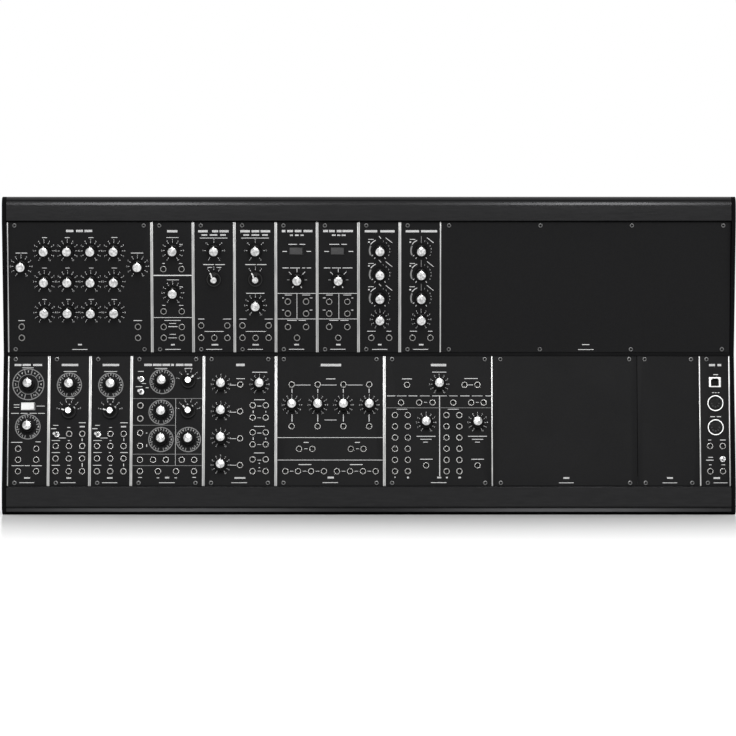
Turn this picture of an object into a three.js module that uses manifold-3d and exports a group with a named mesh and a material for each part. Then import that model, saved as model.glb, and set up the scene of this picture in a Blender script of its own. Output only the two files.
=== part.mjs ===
// A two-row modular synthesizer in a concave desktop case, in millimetres.
// X runs along the rows to the right, Y from the front to the back, Z up.
import * as THREE from "three";
import { mergeVertices } from "three/addons/utils/BufferGeometryUtils.js";
import Module from "manifold-3d";

const wasm = await Module();
wasm.setup();

// Rack grid
const unitWidth = 5.08;
const unitsPerRow = 140;
const panelHeight = 128.5;
const panelThickness = 2;
const panelGap = 0.4;
const seatGap = 0.3;
const runningGap = 0.3;
const overrun = 1;

// Rows of sockets, as shares of the panel's height from its top
const lastRowShare = 0.888;
const nextRowShare = 0.8;

// Case
const caseDepth = 100;
const cheekThickness = 4;
const cheekGap = 0.4;
const rowTilt = THREE.MathUtils.degToRad(7.5);
const upperBandHeight = 23.8;
const lowerBandHeight = 26.7;
const bandRowGap = 1.5;
const middleGap = 4;
const bandProud = 4.5;
const bandRadius = 9;
const bandWall = 3;
const bandDepth = 30;
const veeDepth = 22;
const railDepth = 8;
const railClearance = 0.4;
const railSpine = 4;
const railSpineHeight = 14;
const noseInset = 0.5;
const sheetThickness = 1.5;
const sheetLap = 8;
const sheetBend = 3;
const arcSteps = 4;

// Vents and cut-outs in the back sheet
const ventWidth = 3;
const ventHeight = 40;
const ventPitch = 9;
const ventsInBank = 12;
const ventBankPlaceShares = [0.24, 0.76];
const ventHeightPlaceShare = 0.8;
const inletPlaceShare = 0.94;
const switchPlaceShare = 0.9;

// Power supply and bus board
const boardThickness = 1.6;
const busBoardHeight = 70;
const busBoardMargin = 8;
const busBoardStandoff = 7;
const standoffRadius = 3;
const standoffPlaceShares = [0.1, 0.5, 0.8];
const headerWidth = 21;
const headerHeight = 9;
const headerDepth = 9;
const headersInRow = 7;
const headerRowPlaceShares = [0.3, 0.7];
const headerPlaceShare = 0.84;
const converterWidth = 40;
const converterDepth = 14;
const converterHeight = 50;
const inletRadius = 5.5;
const inletBoreRadius = 3;
const inletBoreDepth = 7;

// What stands behind each panel
const boardSetback = 11.2;
const boardEdgeMargin = 1.5;
const boardEndInset = 11.25;
const ribbonHeaderWidth = 12;
const ribbonHeaderHeight = 21;
const ribbonHeaderDepth = 8;
const bodyRoot = 1;

// Jack sockets
const nutRadius = 3.5;
const nutHeight = 1.6;
const plugRadius = 1.75;
const socketDepth = 9.5;
const socketBodyWidth = 9;
const socketSides = 6;

// Potentiometer knobs
const knobSkirtRadius = 6.8;
const knobSkirtHeight = 5.5;
const knobCapRadius = 4.75;
const knobHeight = 12.5;
const knobLift = 0.8;
const shaftRadius = 3;
const shaftDepth = 8;
const potBodyWidth = 9.6;
const knobSides = 8;
const pointerWidth = 1.2;
const pointerHeight = 0.6;

// Rotary selectors
const selectorSkirtRadius = 7.4;
const selectorSkirtHeight = 4;
const selectorCapRadius = 3.3;
const selectorHeight = 11;
const selectorBodyWidth = 14;

// Toggle switches
const collarRadius = 3.5;
const collarHeight = 2.8;
const collarSides = 8;
const leverBallRadius = 2.1;
const leverNeckRadius = 1.1;
const leverTipRadius = 1.5;
const leverLength = 10;
const leverPivotHeight = 1;
const leverThrow = THREE.MathUtils.degToRad(12);
const toggleWellDepth = 6;
const toggleBodyWidth = 8;
const toggleBodyHeight = 12;

// Rocker switches
const rockerWidth = 12.8;
const rockerHeight = 6.6;
const rockerRise = 1.6;
const rockerDip = 0.8;
const rockerFootWidth = 7;
const rockerFootDepth = 4;
const rockerPivotDepth = 1.5;
const rockerEndGap = 0.6;
const rockerThrow = THREE.MathUtils.degToRad(9);
const rockerWellDepth = 8;
const rockerFrame = 2;
const powerRockerWidth = 17;
const powerRockerHeight = 10;
const powerRockerRecess = 3.2;
const powerWellDepth = 7;

// Sockets of the computer interface panel
const usbFrameWidth = 12.3;
const usbFrameHeight = 11;
const usbFrameRise = 0.8;
const usbOpeningWidth = 8.2;
const usbOpeningHeight = 7.4;
const usbTongueWidth = 5.2;
const usbTongueHeight = 3;
const usbDepth = 9;
const dinRadius = 8.25;
const dinRise = 1;
const dinWall = 1.3;
const dinGroove = 1;
const dinGrooveDepth = 6;
const dinInsertRecess = 0.8;
const dinSides = 12;

// Sizes that follow from those above
const rowWidth = unitWidth * unitsPerRow;
const caseWidth = rowWidth + 2 * (cheekThickness + cheekGap);
const rowRise = panelHeight * Math.cos(rowTilt);
const railLap = panelHeight * (1 - lastRowShare) - socketBodyWidth / 2 - railClearance;
const boardHeight = panelHeight - 2 * boardEndInset;
const lowerRowBase = lowerBandHeight + bandRowGap;
const upperRowBase = lowerRowBase + rowRise + middleGap;
const caseHeight = upperRowBase + rowRise + bandRowGap + upperBandHeight;
const rowDeepEdge = bandProud + panelHeight * Math.sin(rowTilt);
const middleHeight = upperRowBase - middleGap / 2;
const seatDepth = panelThickness + seatGap;
const boardBack = boardSetback + boardThickness;
const backInside = caseDepth - sheetThickness;
const busBoardBack = backInside - busBoardStandoff;
const busBoardFront = busBoardBack - boardThickness;
const powerRockerFace = caseDepth - powerRockerRecess;
const mergeDistance = 1e-4;

// Finishes
function finish(color, roughness, metalness) {
  return new THREE.MeshStandardMaterial({ color, roughness, metalness });
}
const blackPowderCoat = finish(0x232325, 0.62, 0.2);
const blackAnodised = finish(0x2b2b2e, 0.45, 0.6);
const panelBlack = finish(0x26272a, 0.55, 0.3);
const boardGreen = finish(0x1f4a33, 0.6, 0);
const knobSilver = finish(0xd9dadc, 0.25, 0.9);
const leverChrome = finish(0xd0d2d5, 0.2, 1);
const rockerWhite = finish(0xe8e8e6, 0.45, 0);
const rockerBlack = finish(0x18181a, 0.5, 0);

// A closed three.js geometry as a solid that can be joined and cut.
function solidOf(geometry) {
  const bare = geometry.index ? geometry.toNonIndexed() : geometry.clone();
  bare.deleteAttribute("normal");
  bare.deleteAttribute("uv");
  const merged = mergeVertices(bare, mergeDistance);
  const corners = merged.index.array;
  const triangles = [];
  for (let i = 0; i < corners.length; i += 3) {
    const [a, b, c] = [corners[i], corners[i + 1], corners[i + 2]];
    if (a !== b && b !== c && c !== a) triangles.push(a, b, c);
  }
  return new wasm.Manifold(
    new wasm.Mesh({
      numProp: 3,
      vertProperties: new Float32Array(merged.attributes.position.array),
      triVerts: new Uint32Array(triangles),
    }),
  );
}

// Joins the first list of geometries, then cuts the second list out of them.
function assemble(joined, cut = []) {
  let solid = solidOf(joined[0]);
  for (const geometry of joined.slice(1)) solid = solid.add(solidOf(geometry));
  for (const geometry of cut) solid = solid.subtract(solidOf(geometry));
  const made = solid.getMesh();
  const geometry = new THREE.BufferGeometry();
  geometry.setAttribute("position", new THREE.BufferAttribute(made.vertProperties, 3));
  geometry.setIndex(new THREE.BufferAttribute(made.triVerts, 1));
  const flat = geometry.toNonIndexed();
  flat.computeVertexNormals();
  return flat;
}

function named(name, geometry, material) {
  const mesh = new THREE.Mesh(geometry, material);
  mesh.name = name;
  return mesh;
}

// A block between two corners.
function block([x0, y0, z0], [x1, y1, z1]) {
  const geometry = new THREE.BoxGeometry(x1 - x0, y1 - y0, z1 - z0);
  return geometry.translate((x0 + x1) / 2, (y0 + y1) / 2, (z0 + z1) / 2);
}

// A block centred on a place of the panel's face, between two depths behind it.
function faceBlock([x, z], width, height, near, far) {
  return block([x - width / 2, near, z - height / 2], [x + width / 2, far, z + height / 2]);
}

// A (y, z) section drawn out along X, centred on x = 0.
function drawnAlongX(section, length) {
  const shape = new THREE.Shape(section.map(([y, z]) => new THREE.Vector2(y, z)));
  const geometry = new THREE.ExtrudeGeometry(shape, { depth: length, bevelEnabled: false });
  const turn = new THREE.Matrix4().makeBasis(
    new THREE.Vector3(0, 1, 0),
    new THREE.Vector3(0, 0, 1),
    new THREE.Vector3(1, 0, 0),
  );
  return geometry.applyMatrix4(turn).translate(-length / 2, 0, 0);
}

// A profile of [radius, height over the panel's face] turned about the line out of the panel.
function turned(profile, sides, [x, z] = [0, 0]) {
  const points = profile.map(([radius, height]) => new THREE.Vector2(radius, height));
  const geometry = new THREE.LatheGeometry(points, sides);
  return geometry.rotateX(Math.PI).translate(x, 0, z);
}

// A plain round post or hole between two heights over the panel's face.
function post(radius, low, high, sides, place) {
  const profile = [
    [0, low],
    [radius, low],
    [radius, high],
    [0, high],
  ];
  return turned(profile, sides, place);
}

// The radius at which a hole with flat sides leaves a gap round a turning piece.
function roundedOut(radius, gap, sides) {
  return (radius + gap) / Math.cos(Math.PI / sides);
}

// Case, drawn in (depth from the band's front, distance from the case's top or bottom).
function arc(centreDepth, centreDistance, radius, from, to) {
  const points = [];
  for (let step = 0; step <= arcSteps; step += 1) {
    const angle = from + ((to - from) * step) / arcSteps;
    points.push([
      centreDepth + radius * Math.cos(angle),
      centreDistance + radius * Math.sin(angle),
    ]);
  }
  return points;
}

// A point behind the outer edge of a tilted panel, along its face and inward from it.
function behindPanel(bandHeight, along, inward) {
  return [
    bandProud + along * Math.sin(rowTilt) + inward * Math.cos(rowTilt),
    bandHeight + bandRowGap + along * Math.cos(rowTilt) - inward * Math.sin(rowTilt),
  ];
}

// The same, where that depth behind the panel crosses a level.
function behindPanelAt(bandHeight, level, inward) {
  const rise = level - bandHeight - bandRowGap + inward * Math.sin(rowTilt);
  return behindPanel(bandHeight, rise / Math.cos(rowTilt), inward);
}

// The band that frames a row, an open channel with a lip that carries the panels' ends.
function bandSection(bandHeight) {
  const inner = bandRadius - bandWall;
  return [
    ...arc(bandRadius, bandRadius, bandRadius, Math.PI, 1.5 * Math.PI),
    [bandDepth, 0],
    [bandDepth, bandWall],
    ...arc(bandRadius, bandRadius, inner, 1.5 * Math.PI, Math.PI),
    [bandWall, bandHeight - bandWall],
    behindPanelAt(bandHeight, bandHeight - bandWall, seatDepth + railDepth),
    behindPanel(bandHeight, railLap, seatDepth + railDepth),
    behindPanel(bandHeight, railLap, seatDepth),
    behindPanelAt(bandHeight, bandHeight, seatDepth),
    [0, bandHeight],
  ];
}

function flipped(section) {
  return section.map(([y, z]) => [y, caseHeight - z]);
}

function makeUpperFrontRail() {
  const geometry = drawnAlongX(flipped(bandSection(upperBandHeight)), rowWidth);
  return named("upper_front_rail", assemble([geometry]), blackAnodised);
}

function makeLowerFrontRail() {
  const geometry = drawnAlongX(bandSection(lowerBandHeight), rowWidth);
  return named("lower_front_rail", assemble([geometry]), blackAnodised);
}

// The rail between the rows: a nose in the gap and a seat behind each row's inner edge.
function makeMiddleRail() {
  const sine = Math.sin(rowTilt);
  const cosine = Math.cos(rowTilt);
  const noseHalf = middleGap / 2 - seatGap;
  const seatFoot = rowDeepEdge + seatDepth * cosine;
  const seatRise = middleGap / 2 + seatDepth * sine;
  const lapDepth = railLap * sine;
  const lapRise = railLap * cosine;
  const half = [
    [rowDeepEdge + noseInset, noseHalf],
    [seatFoot + (seatRise - noseHalf) * Math.tan(rowTilt), noseHalf],
    [seatFoot - lapDepth, seatRise + lapRise],
    [seatFoot - lapDepth + railDepth * cosine, seatRise + lapRise + railDepth * sine],
    [seatFoot + railDepth, railSpineHeight / 2],
    [seatFoot + railDepth + railSpine, railSpineHeight / 2],
  ];
  const upper = half.map(([y, rise]) => [y, middleHeight + rise]);
  const lower = half.map(([y, rise]) => [y, middleHeight - rise]).reverse();
  const geometry = drawnAlongX([...upper, ...lower], rowWidth);
  return named("middle_rail", assemble([geometry]), blackAnodised);
}

// One end plate, with its front edge drawn back in a vee like the rows.
function makeCheek(name, side) {
  const corner = arc(bandRadius, bandRadius, bandRadius, Math.PI, 1.5 * Math.PI);
  const back = [
    [caseDepth - sheetBend, 0],
    [caseDepth, sheetBend],
  ];
  const lower = [[0, lowerBandHeight], ...corner, ...back];
  const upper = flipped([[0, upperBandHeight], ...corner, ...back]).reverse();
  const outline = [[veeDepth, middleHeight], ...lower, ...upper];
  const geometry = drawnAlongX(outline, cheekThickness);
  const mesh = named(name, assemble([geometry]), blackPowderCoat);
  mesh.position.x = (side * (caseWidth - cheekThickness)) / 2;
  return mesh;
}

// Places on the back sheet and on the board behind the modules.
const inletPlace = [(inletPlaceShare - 0.5) * rowWidth, middleHeight];
const switchPlace = [(switchPlaceShare - 0.5) * rowWidth, middleHeight];

// The folded sheet that is the top, back and underside, with its vents.
function makeRearShell() {
  const lip = bandWall + seatGap;
  const edge = bandDepth + seatGap;
  const half = [
    [bandDepth - sheetLap, lip + sheetThickness],
    [bandDepth - sheetLap, lip],
    [edge, lip],
    [edge, 0],
    [caseDepth - sheetBend, 0],
    [caseDepth, sheetBend],
  ];
  const innerHalf = [
    [backInside, sheetBend + sheetThickness],
    [backInside - sheetBend, sheetThickness],
    [edge + sheetThickness, sheetThickness],
    [edge + sheetThickness, lip + sheetThickness],
  ];
  const section = [
    ...half,
    ...flipped(half).reverse(),
    ...flipped(innerHalf).reverse(),
    ...innerHalf,
  ];
  const cuts = [];
  for (const share of ventBankPlaceShares) {
    for (let i = 0; i < ventsInBank; i += 1) {
      const x = (share - 0.5) * rowWidth + (i - (ventsInBank - 1) / 2) * ventPitch;
      const place = [x, caseHeight * ventHeightPlaceShare];
      cuts.push(faceBlock(place, ventWidth, ventHeight, backInside - overrun, caseDepth + overrun));
    }
  }
  const inletHole = roundedOut(inletRadius, seatGap, dinSides);
  cuts.push(
    post(inletHole, -caseDepth - overrun, -backInside + overrun, dinSides, inletPlace),
    faceBlock(
      switchPlace,
      powerRockerWidth + 2 * (rockerFrame + rockerEndGap + seatGap),
      powerRockerHeight + 2 * (rockerFrame + runningGap + seatGap),
      backInside - overrun,
      caseDepth + overrun,
    ),
  );
  return named("rear_shell", assemble([drawnAlongX(section, rowWidth)], cuts), blackPowderCoat);
}

// The board on the back sheet: bus headers, converters, power inlet and switch housing.
function makePowerBoard() {
  const width = rowWidth - 2 * busBoardMargin;
  const low = middleHeight - busBoardHeight / 2;
  const joined = [faceBlock([0, middleHeight], width, busBoardHeight, busBoardFront, busBoardBack)];
  for (const share of standoffPlaceShares) {
    const x = (share - 0.5) * width;
    const high = -busBoardFront - boardThickness / 2;
    joined.push(post(standoffRadius, seatGap - backInside, high, socketSides, [x, middleHeight]));
  }
  for (const rowShare of headerRowPlaceShares) {
    for (let i = 0; i < headersInRow; i += 1) {
      const x = ((i + 0.5) / headersInRow) * headerPlaceShare * width - width / 2;
      const place = [x, low + busBoardHeight * rowShare];
      const near = busBoardFront - headerDepth;
      joined.push(faceBlock(place, headerWidth, headerHeight, near, busBoardBack - overrun / 2));
    }
  }
  const converterPlace = [((inletPlaceShare + switchPlaceShare) / 2 - 0.5) * rowWidth, middleHeight];
  joined.push(
    faceBlock(
      converterPlace,
      converterWidth,
      converterHeight,
      busBoardFront - converterDepth,
      busBoardBack - overrun / 2,
    ),
    post(inletRadius, -caseDepth + seatGap, -busBoardFront - overrun / 2, dinSides, inletPlace),
    faceBlock(
      switchPlace,
      powerRockerWidth + 2 * (rockerFrame + rockerEndGap),
      powerRockerHeight + 2 * (rockerFrame + runningGap),
      busBoardFront + overrun / 2,
      caseDepth - seatGap,
    ),
  );
  const cuts = [
    post(inletBoreRadius, -caseDepth - overrun, inletBoreDepth - caseDepth, dinSides, inletPlace),
    faceBlock(
      switchPlace,
      powerRockerWidth + 2 * rockerEndGap,
      powerRockerHeight + 2 * runningGap,
      powerRockerFace - rockerRise - powerWellDepth / 2,
      caseDepth + overrun,
    ),
  ];
  return named("power_bus_board", assemble(joined, cuts), boardGreen);
}

// Moving pieces, each drawn round its own pivot, with the panel's face at y = 0 unless said.
function pointerRidge(from, to, base) {
  const near = -base - pointerHeight;
  return block([-pointerWidth / 2, near, from], [pointerWidth / 2, -base + overrun, to]);
}

// A knob from a given radius and height under its skirt up to its cap.
function knobProfile(footRadius, foot, base) {
  return [
    [0, foot],
    [footRadius, foot],
    [footRadius, base],
    [knobSkirtRadius, base],
    [knobSkirtRadius, knobSkirtHeight],
    [knobCapRadius, knobSkirtHeight],
    [knobCapRadius, knobHeight],
    [0, knobHeight],
  ];
}

// A knob that is one solid with its module, so it reaches down into the panel.
function fixedKnob(place) {
  const profile = [[0, -bodyRoot], [knobSkirtRadius, -bodyRoot], ...knobProfile(0, 0, 0).slice(4)];
  return turned(profile, knobSides, place);
}

function knobShape() {
  const reach = knobSkirtRadius * Math.cos(Math.PI / knobSides);
  return assemble([
    turned(knobProfile(shaftRadius, -shaftDepth, knobLift), knobSides),
    pointerRidge(knobCapRadius - overrun, reach, knobSkirtHeight),
  ]);
}

function selectorShape() {
  const profile = [
    [0, -shaftDepth],
    [shaftRadius, -shaftDepth],
    [shaftRadius, knobLift],
    [selectorSkirtRadius, knobLift],
    [selectorSkirtRadius, selectorSkirtHeight],
    [selectorCapRadius, selectorSkirtHeight],
    [selectorCapRadius, selectorHeight],
    [0, selectorHeight],
  ];
  const reach = selectorSkirtRadius * Math.cos(Math.PI / knobSides);
  return assemble([
    turned(profile, knobSides),
    pointerRidge(selectorCapRadius - overrun, reach, selectorSkirtHeight),
  ]);
}

// The bat lever, drawn round the ball that it swings on.
function leverShape() {
  const profile = [
    [0, -leverBallRadius],
    [leverBallRadius * Math.SQRT1_2, -leverBallRadius * Math.SQRT1_2],
    [leverBallRadius, 0],
    [leverNeckRadius, leverBallRadius],
    [leverTipRadius, leverLength - leverTipRadius],
    [leverTipRadius / 2, leverLength],
    [0, leverLength],
  ];
  return assemble([turned(profile, knobSides)]);
}

// A rocker, drawn round its pivot with its face towards -Y, and rocking about Z.
function rockerShape(width, height) {
  const face = -rockerPivotDepth;
  const outline = [
    [-width / 2, face - rockerRise],
    [0, face - rockerDip],
    [width / 2, face - rockerRise],
    [width / 2, face],
    [rockerFootWidth / 2, face + rockerFootDepth],
    [-rockerFootWidth / 2, face + rockerFootDepth],
    [-width / 2, face],
  ];
  const shape = new THREE.Shape(outline.map(([x, y]) => new THREE.Vector2(x, y)));
  const geometry = new THREE.ExtrudeGeometry(shape, { depth: height, bevelEnabled: false });
  return assemble([geometry.translate(0, 0, -height / 2)]);
}

// Places on a panel: shares of its width from the left and of its height from the top.
function grid(columnShares, rowShares) {
  return columnShares.flatMap((column) => rowShares.map((row) => [column, row]));
}

// Columns of places, each of which shares one socket strip.
function columns(columnShares, rowShares) {
  return columnShares.map((column) => grid([column], rowShares));
}

const topKnobShare = 0.217;
const pairShares = [0.28, 0.72];
const trioShares = [0.18, 0.5, 0.82];
const endPairShares = [0.29, 0.73];
const envelopeKnobShare = 0.518;
const filterPairStrips = [
  ...columns([0.188, 0.822], [0.793, lastRowShare]),
  ...columns([0.505], [lastRowShare]),
];
const oscillatorStrips = [
  ...columns([trioShares[0]], [0.694, 0.79, lastRowShare]),
  ...columns(trioShares.slice(1), [0.6, 0.694, 0.79, lastRowShare]),
];

// A control's turn is its rest position, in degrees clockwise from straight up.
const upperModules = [
  {
    name: "filter_bank",
    units: 28,
    fixedKnobs: grid([0.257, 0.418, 0.578, 0.739], [0.219, 0.456, 0.693]),
    knobs: { low_band_knob: [0.097, 0.338], high_band_knob: [0.902, 0.338] },
    sockets: columns([0.097, 0.902], [0.803, lastRowShare]),
  },
  {
    name: "dual_filter",
    units: 8,
    knobs: { upper_knob: [0.505, topKnobShare], lower_knob: [0.505, 0.542] },
    sockets: columns(pairShares, [0.358, 0.684, 0.804, lastRowShare]),
  },
  {
    name: "high_pass",
    units: 8,
    knobs: { knob: [0.505, topKnobShare] },
    selectors: { selector: [0.5, 0.437, -30] },
    sockets: filterPairStrips,
  },
  {
    name: "low_pass",
    units: 8,
    knobs: { frequency_knob: [0.505, topKnobShare], resonance_knob: [0.505, 0.639] },
    selectors: { selector: [0.505, 0.437, -30] },
    sockets: filterPairStrips,
  },
  {
    name: "amplifier_1",
    units: 8,
    knobs: { knob: [0.512, 0.442] },
    rockers: { rocker: [0.5, 0.22] },
    sockets: [...columns(endPairShares, [0.609, 0.701, 0.804]), ...columns([0.51], [lastRowShare])],
  },
  {
    name: "amplifier_2",
    units: 8,
    knobs: { knob: [0.512, 0.442] },
    rockers: { rocker: [0.5, 0.22] },
    sockets: [...columns(endPairShares, [0.609, 0.701, 0.804]), ...columns([0.51], [lastRowShare])],
  },
  {
    name: "envelope_1",
    units: 8,
    knobs: { attack_knob: [envelopeKnobShare, topKnobShare] },
    fixedKnobs: grid([envelopeKnobShare], [0.4, 0.583, 0.747]),
    sockets: columns([0.31, 0.742], [lastRowShare]),
  },
  {
    name: "envelope_2",
    units: 8,
    knobs: { attack_knob: [envelopeKnobShare, topKnobShare] },
    fixedKnobs: grid([envelopeKnobShare], [0.4, 0.583, 0.747]),
    sockets: columns([0.31, 0.742], [lastRowShare]),
  },
  { name: "wide", units: 56, blank: true },
];

const lowerModules = [
  {
    name: "oscillator_driver",
    units: 8,
    knobs: { frequency_knob: [0.494, topKnobShare], width_knob: [0.493, 0.543] },
    rockers: { rocker: [0.5, 0.387] },
    sockets: columns([0.273, 0.711], [0.715, 0.799, lastRowShare]),
  },
  {
    name: "oscillator_1",
    units: 8,
    knobs: { knob: [0.495, 0.219] },
    selectors: { selector: [0.487, 0.426, -75] },
    toggles: { toggle: [0.203, 0.605] },
    sockets: oscillatorStrips,
  },
  {
    name: "oscillator_2",
    units: 8,
    knobs: { knob: [0.498, 0.219] },
    selectors: { selector: [0.49, 0.426, -75] },
    toggles: { toggle: [0.203, 0.605] },
    sockets: oscillatorStrips,
  },
  {
    name: "voltage_oscillator",
    units: 14,
    knobs: { frequency_knob: [0.42, 0.194] },
    fixedKnobs: [
      [0.414, 0.43],
      [0.414, 0.64],
      [0.79, 0.64],
    ],
    selectors: { range_selector: [0.786, 0.192, 45], wave_selector: [0.786, 0.424, -45] },
    toggles: { upper_toggle: [0.137, 0.179], lower_toggle: [0.137, 0.276] },
    sockets: [
      ...columns([0.126], [0.382, 0.482, 0.593, 0.693, nextRowShare, lastRowShare]),
      grid([0.306, 0.483], [nextRowShare]),
      grid([0.702, 0.874], [nextRowShare]),
      ...columns([0.375, 0.623, 0.873], [lastRowShare]),
    ],
  },
  {
    name: "mixer",
    units: 14,
    knobs: { first_level_knob: [0.238, topKnobShare] },
    fixedKnobs: [...grid([0.239], [0.425, 0.632, 0.839]), [0.771, topKnobShare]],
    sockets: [
      ...columns([0.506], [0.22]),
      ...columns([0.506], [0.427]),
      ...columns([0.506], [0.635]),
      ...columns([0.506], [0.841]),
      ...columns([0.68, 0.861], [0.381, 0.475]),
      ...columns([0.68, 0.861], [0.589, 0.682]),
      ...columns([0.68, 0.861], [0.797, lastRowShare]),
    ],
  },
  {
    name: "attenuator",
    units: 21,
    knobs: { first_level_knob: [0.147, 0.376] },
    fixedKnobs: grid([0.386, 0.623, 0.861], [0.376]),
    sockets: [
      ...columns([0.146, 0.385, 0.623, 0.861], [0.22]),
      ...columns([0.146, 0.385, 0.623, 0.861], [0.542]),
      grid([0.215, 0.337], [0.716]),
      grid([0.691, 0.808], [0.716]),
      grid([0.089, 0.205, 0.325, 0.444], [lastRowShare]),
      grid([0.563, 0.684, 0.803, 0.92], [lastRowShare]),
    ],
  },
  {
    name: "interface",
    units: 21,
    knobs: { level_knob: [0.507, 0.216] },
    fixedKnobs: grid([0.386, 0.86], [0.511]),
    sockets: [
      ...columns([0.21], [0.222]),
      grid([0.741, 0.86], [0.222]),
      ...columns([0.155], [0.359]),
      grid([0.321, 0.445], [0.359]),
      ...columns([0.636], [0.359]),
      grid([0.801, 0.916], [0.359]),
      ...columns([0.098, 0.216, 0.573, 0.691], [0.456, 0.543, 0.629, 0.715, 0.801, lastRowShare]),
      ...columns([0.385, 0.858], [0.843]),
    ],
  },
  { name: "middle", units: 28, blank: true },
  { name: "narrow", units: 12, blank: true },
  {
    name: "computer_interface",
    units: 6,
    usbPlace: [0.516, 0.201],
    dinPlaces: grid([0.524], [0.363, 0.549]),
    toggles: { toggle: [0.737, 0.795] },
    sockets: columns([0.333, 0.741], [0.694]).concat(columns([0.333, 0.741], [lastRowShare])),
  },
];

// A share pair as a place on the panel's face, in (x, z) from its lower left corner.
function placeOn(units, [acrossShare, downShare]) {
  return [acrossShare * units * unitWidth - panelGap / 2, (1 - downShare) * panelHeight];
}

function panelWidth(units) {
  return units * unitWidth - panelGap;
}

// One strip of socket bodies behind the panel, from the first to the last of its places.
function stripBody(places) {
  const [firstX, firstZ] = places[0];
  const [lastX, lastZ] = places[places.length - 1];
  const centre = [(firstX + lastX) / 2, (firstZ + lastZ) / 2];
  const width = Math.abs(lastX - firstX) + socketBodyWidth;
  const height = Math.abs(lastZ - firstZ) + socketBodyWidth;
  return faceBlock(centre, width, height, bodyRoot, boardSetback + bodyRoot / 2);
}

function addSockets(units, strips, joined, cuts) {
  const boreRadius = roundedOut(plugRadius, 0, socketSides);
  for (const strip of strips) {
    const places = strip.map((share) => placeOn(units, share));
    joined.push(stripBody(places));
    for (const place of places) {
      joined.push(post(nutRadius, -bodyRoot, nutHeight, socketSides, place));
      cuts.push(post(boreRadius, -socketDepth, nutHeight + overrun, socketSides, place));
    }
  }
}

function switchBody(place, width, height) {
  return faceBlock(place, width, height, bodyRoot, boardSetback + bodyRoot / 2);
}

function addTurningControls(places, bodyWidth, joined, cuts) {
  const boreRadius = roundedOut(shaftRadius, runningGap, knobSides);
  for (const place of places) {
    joined.push(switchBody(place, bodyWidth, bodyWidth));
    cuts.push(post(boreRadius, -shaftDepth - runningGap, overrun, knobSides, place));
  }
}

function addToggles(places, joined, cuts) {
  const wellRadius = roundedOut(leverBallRadius, runningGap, collarSides);
  for (const place of places) {
    joined.push(
      switchBody(place, toggleBodyWidth, toggleBodyHeight),
      post(collarRadius, -bodyRoot, collarHeight, collarSides, place),
    );
    cuts.push(post(wellRadius, -toggleWellDepth, collarHeight + overrun, collarSides, place));
  }
}

function addRockers(places, joined, cuts) {
  const wellWidth = rockerWidth + 2 * rockerEndGap;
  const wellHeight = rockerHeight + 2 * runningGap;
  for (const place of places) {
    joined.push(switchBody(place, wellWidth + 2 * rockerFrame, wellHeight + 2 * rockerFrame));
    cuts.push(faceBlock(place, wellWidth, wellHeight, -overrun, rockerWellDepth));
  }
}

function addUsbSocket(place, joined, cuts) {
  joined.push(
    faceBlock(place, usbFrameWidth, usbFrameHeight, -usbFrameRise, boardSetback + bodyRoot / 2),
  );
  const tongueGapX = (usbOpeningWidth - usbTongueWidth) / 2;
  const tongueGapZ = (usbOpeningHeight - usbTongueHeight) / 2;
  const [x, z] = place;
  for (const side of [-1, 1]) {
    const across = [x + (side * (usbTongueWidth + tongueGapX)) / 2, z];
    const above = [x, z + (side * (usbTongueHeight + tongueGapZ)) / 2];
    cuts.push(
      faceBlock(across, tongueGapX, usbOpeningHeight, -usbFrameRise - overrun, usbDepth),
      faceBlock(above, usbOpeningWidth, tongueGapZ, -usbFrameRise - overrun, usbDepth),
    );
  }
  cuts.push(faceBlock(place, usbOpeningWidth, usbOpeningHeight, -usbFrameRise - overrun, overrun));
}

function addDinSocket(place, joined, cuts) {
  const grooveOuter = dinRadius - dinWall;
  const grooveInner = grooveOuter - dinGroove;
  joined.push(
    post(dinRadius, -boardSetback - bodyRoot / 2, dinRise, dinSides, place),
  );
  const groove = [
    [grooveInner, -dinGrooveDepth],
    [grooveOuter, -dinGrooveDepth],
    [grooveOuter, dinRise + overrun],
    [0, dinRise + overrun],
    [0, dinRise - dinInsertRecess],
    [grooveInner, dinRise - dinInsertRecess],
    [grooveInner, -dinGrooveDepth],
  ];
  cuts.push(turned(groove, dinSides, place));
}

// A module: its panel, the sockets and controls fixed to it, and its circuit board.
function makeModule(spec) {
  const { units } = spec;
  const width = panelWidth(units);
  const places = (shares) => Object.values(shares ?? {}).map((share) => placeOn(units, share));
  const middle = [width / 2, panelHeight / 2];
  const boardWidth = width - 2 * boardEdgeMargin;
  const joined = [
    block([0, 0, 0], [width, panelThickness, panelHeight]),
    faceBlock(middle, boardWidth, boardHeight, boardSetback, boardBack),
    faceBlock(
      middle,
      ribbonHeaderWidth,
      ribbonHeaderHeight,
      boardBack - bodyRoot,
      boardBack + ribbonHeaderDepth,
    ),
  ];
  const cuts = [];
  addSockets(units, spec.sockets, joined, cuts);
  for (const place of places(spec.fixedKnobs)) {
    joined.push(switchBody(place, potBodyWidth, potBodyWidth), fixedKnob(place));
  }
  addTurningControls(places(spec.knobs), potBodyWidth, joined, cuts);
  addTurningControls(places(spec.selectors), selectorBodyWidth, joined, cuts);
  addToggles(places(spec.toggles), joined, cuts);
  addRockers(places(spec.rockers), joined, cuts);
  if (spec.usbPlace) addUsbSocket(placeOn(units, spec.usbPlace), joined, cuts);
  for (const share of spec.dinPlaces ?? []) addDinSocket(placeOn(units, share), joined, cuts);
  return named(`${spec.name}_module`, assemble(joined, cuts), panelBlack);
}

function makeBlankPanel(spec) {
  const plate = block([0, 0, 0], [panelWidth(spec.units), panelThickness, panelHeight]);
  return named(`${spec.name}_blank_panel`, assemble([plate]), panelBlack);
}

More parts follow.
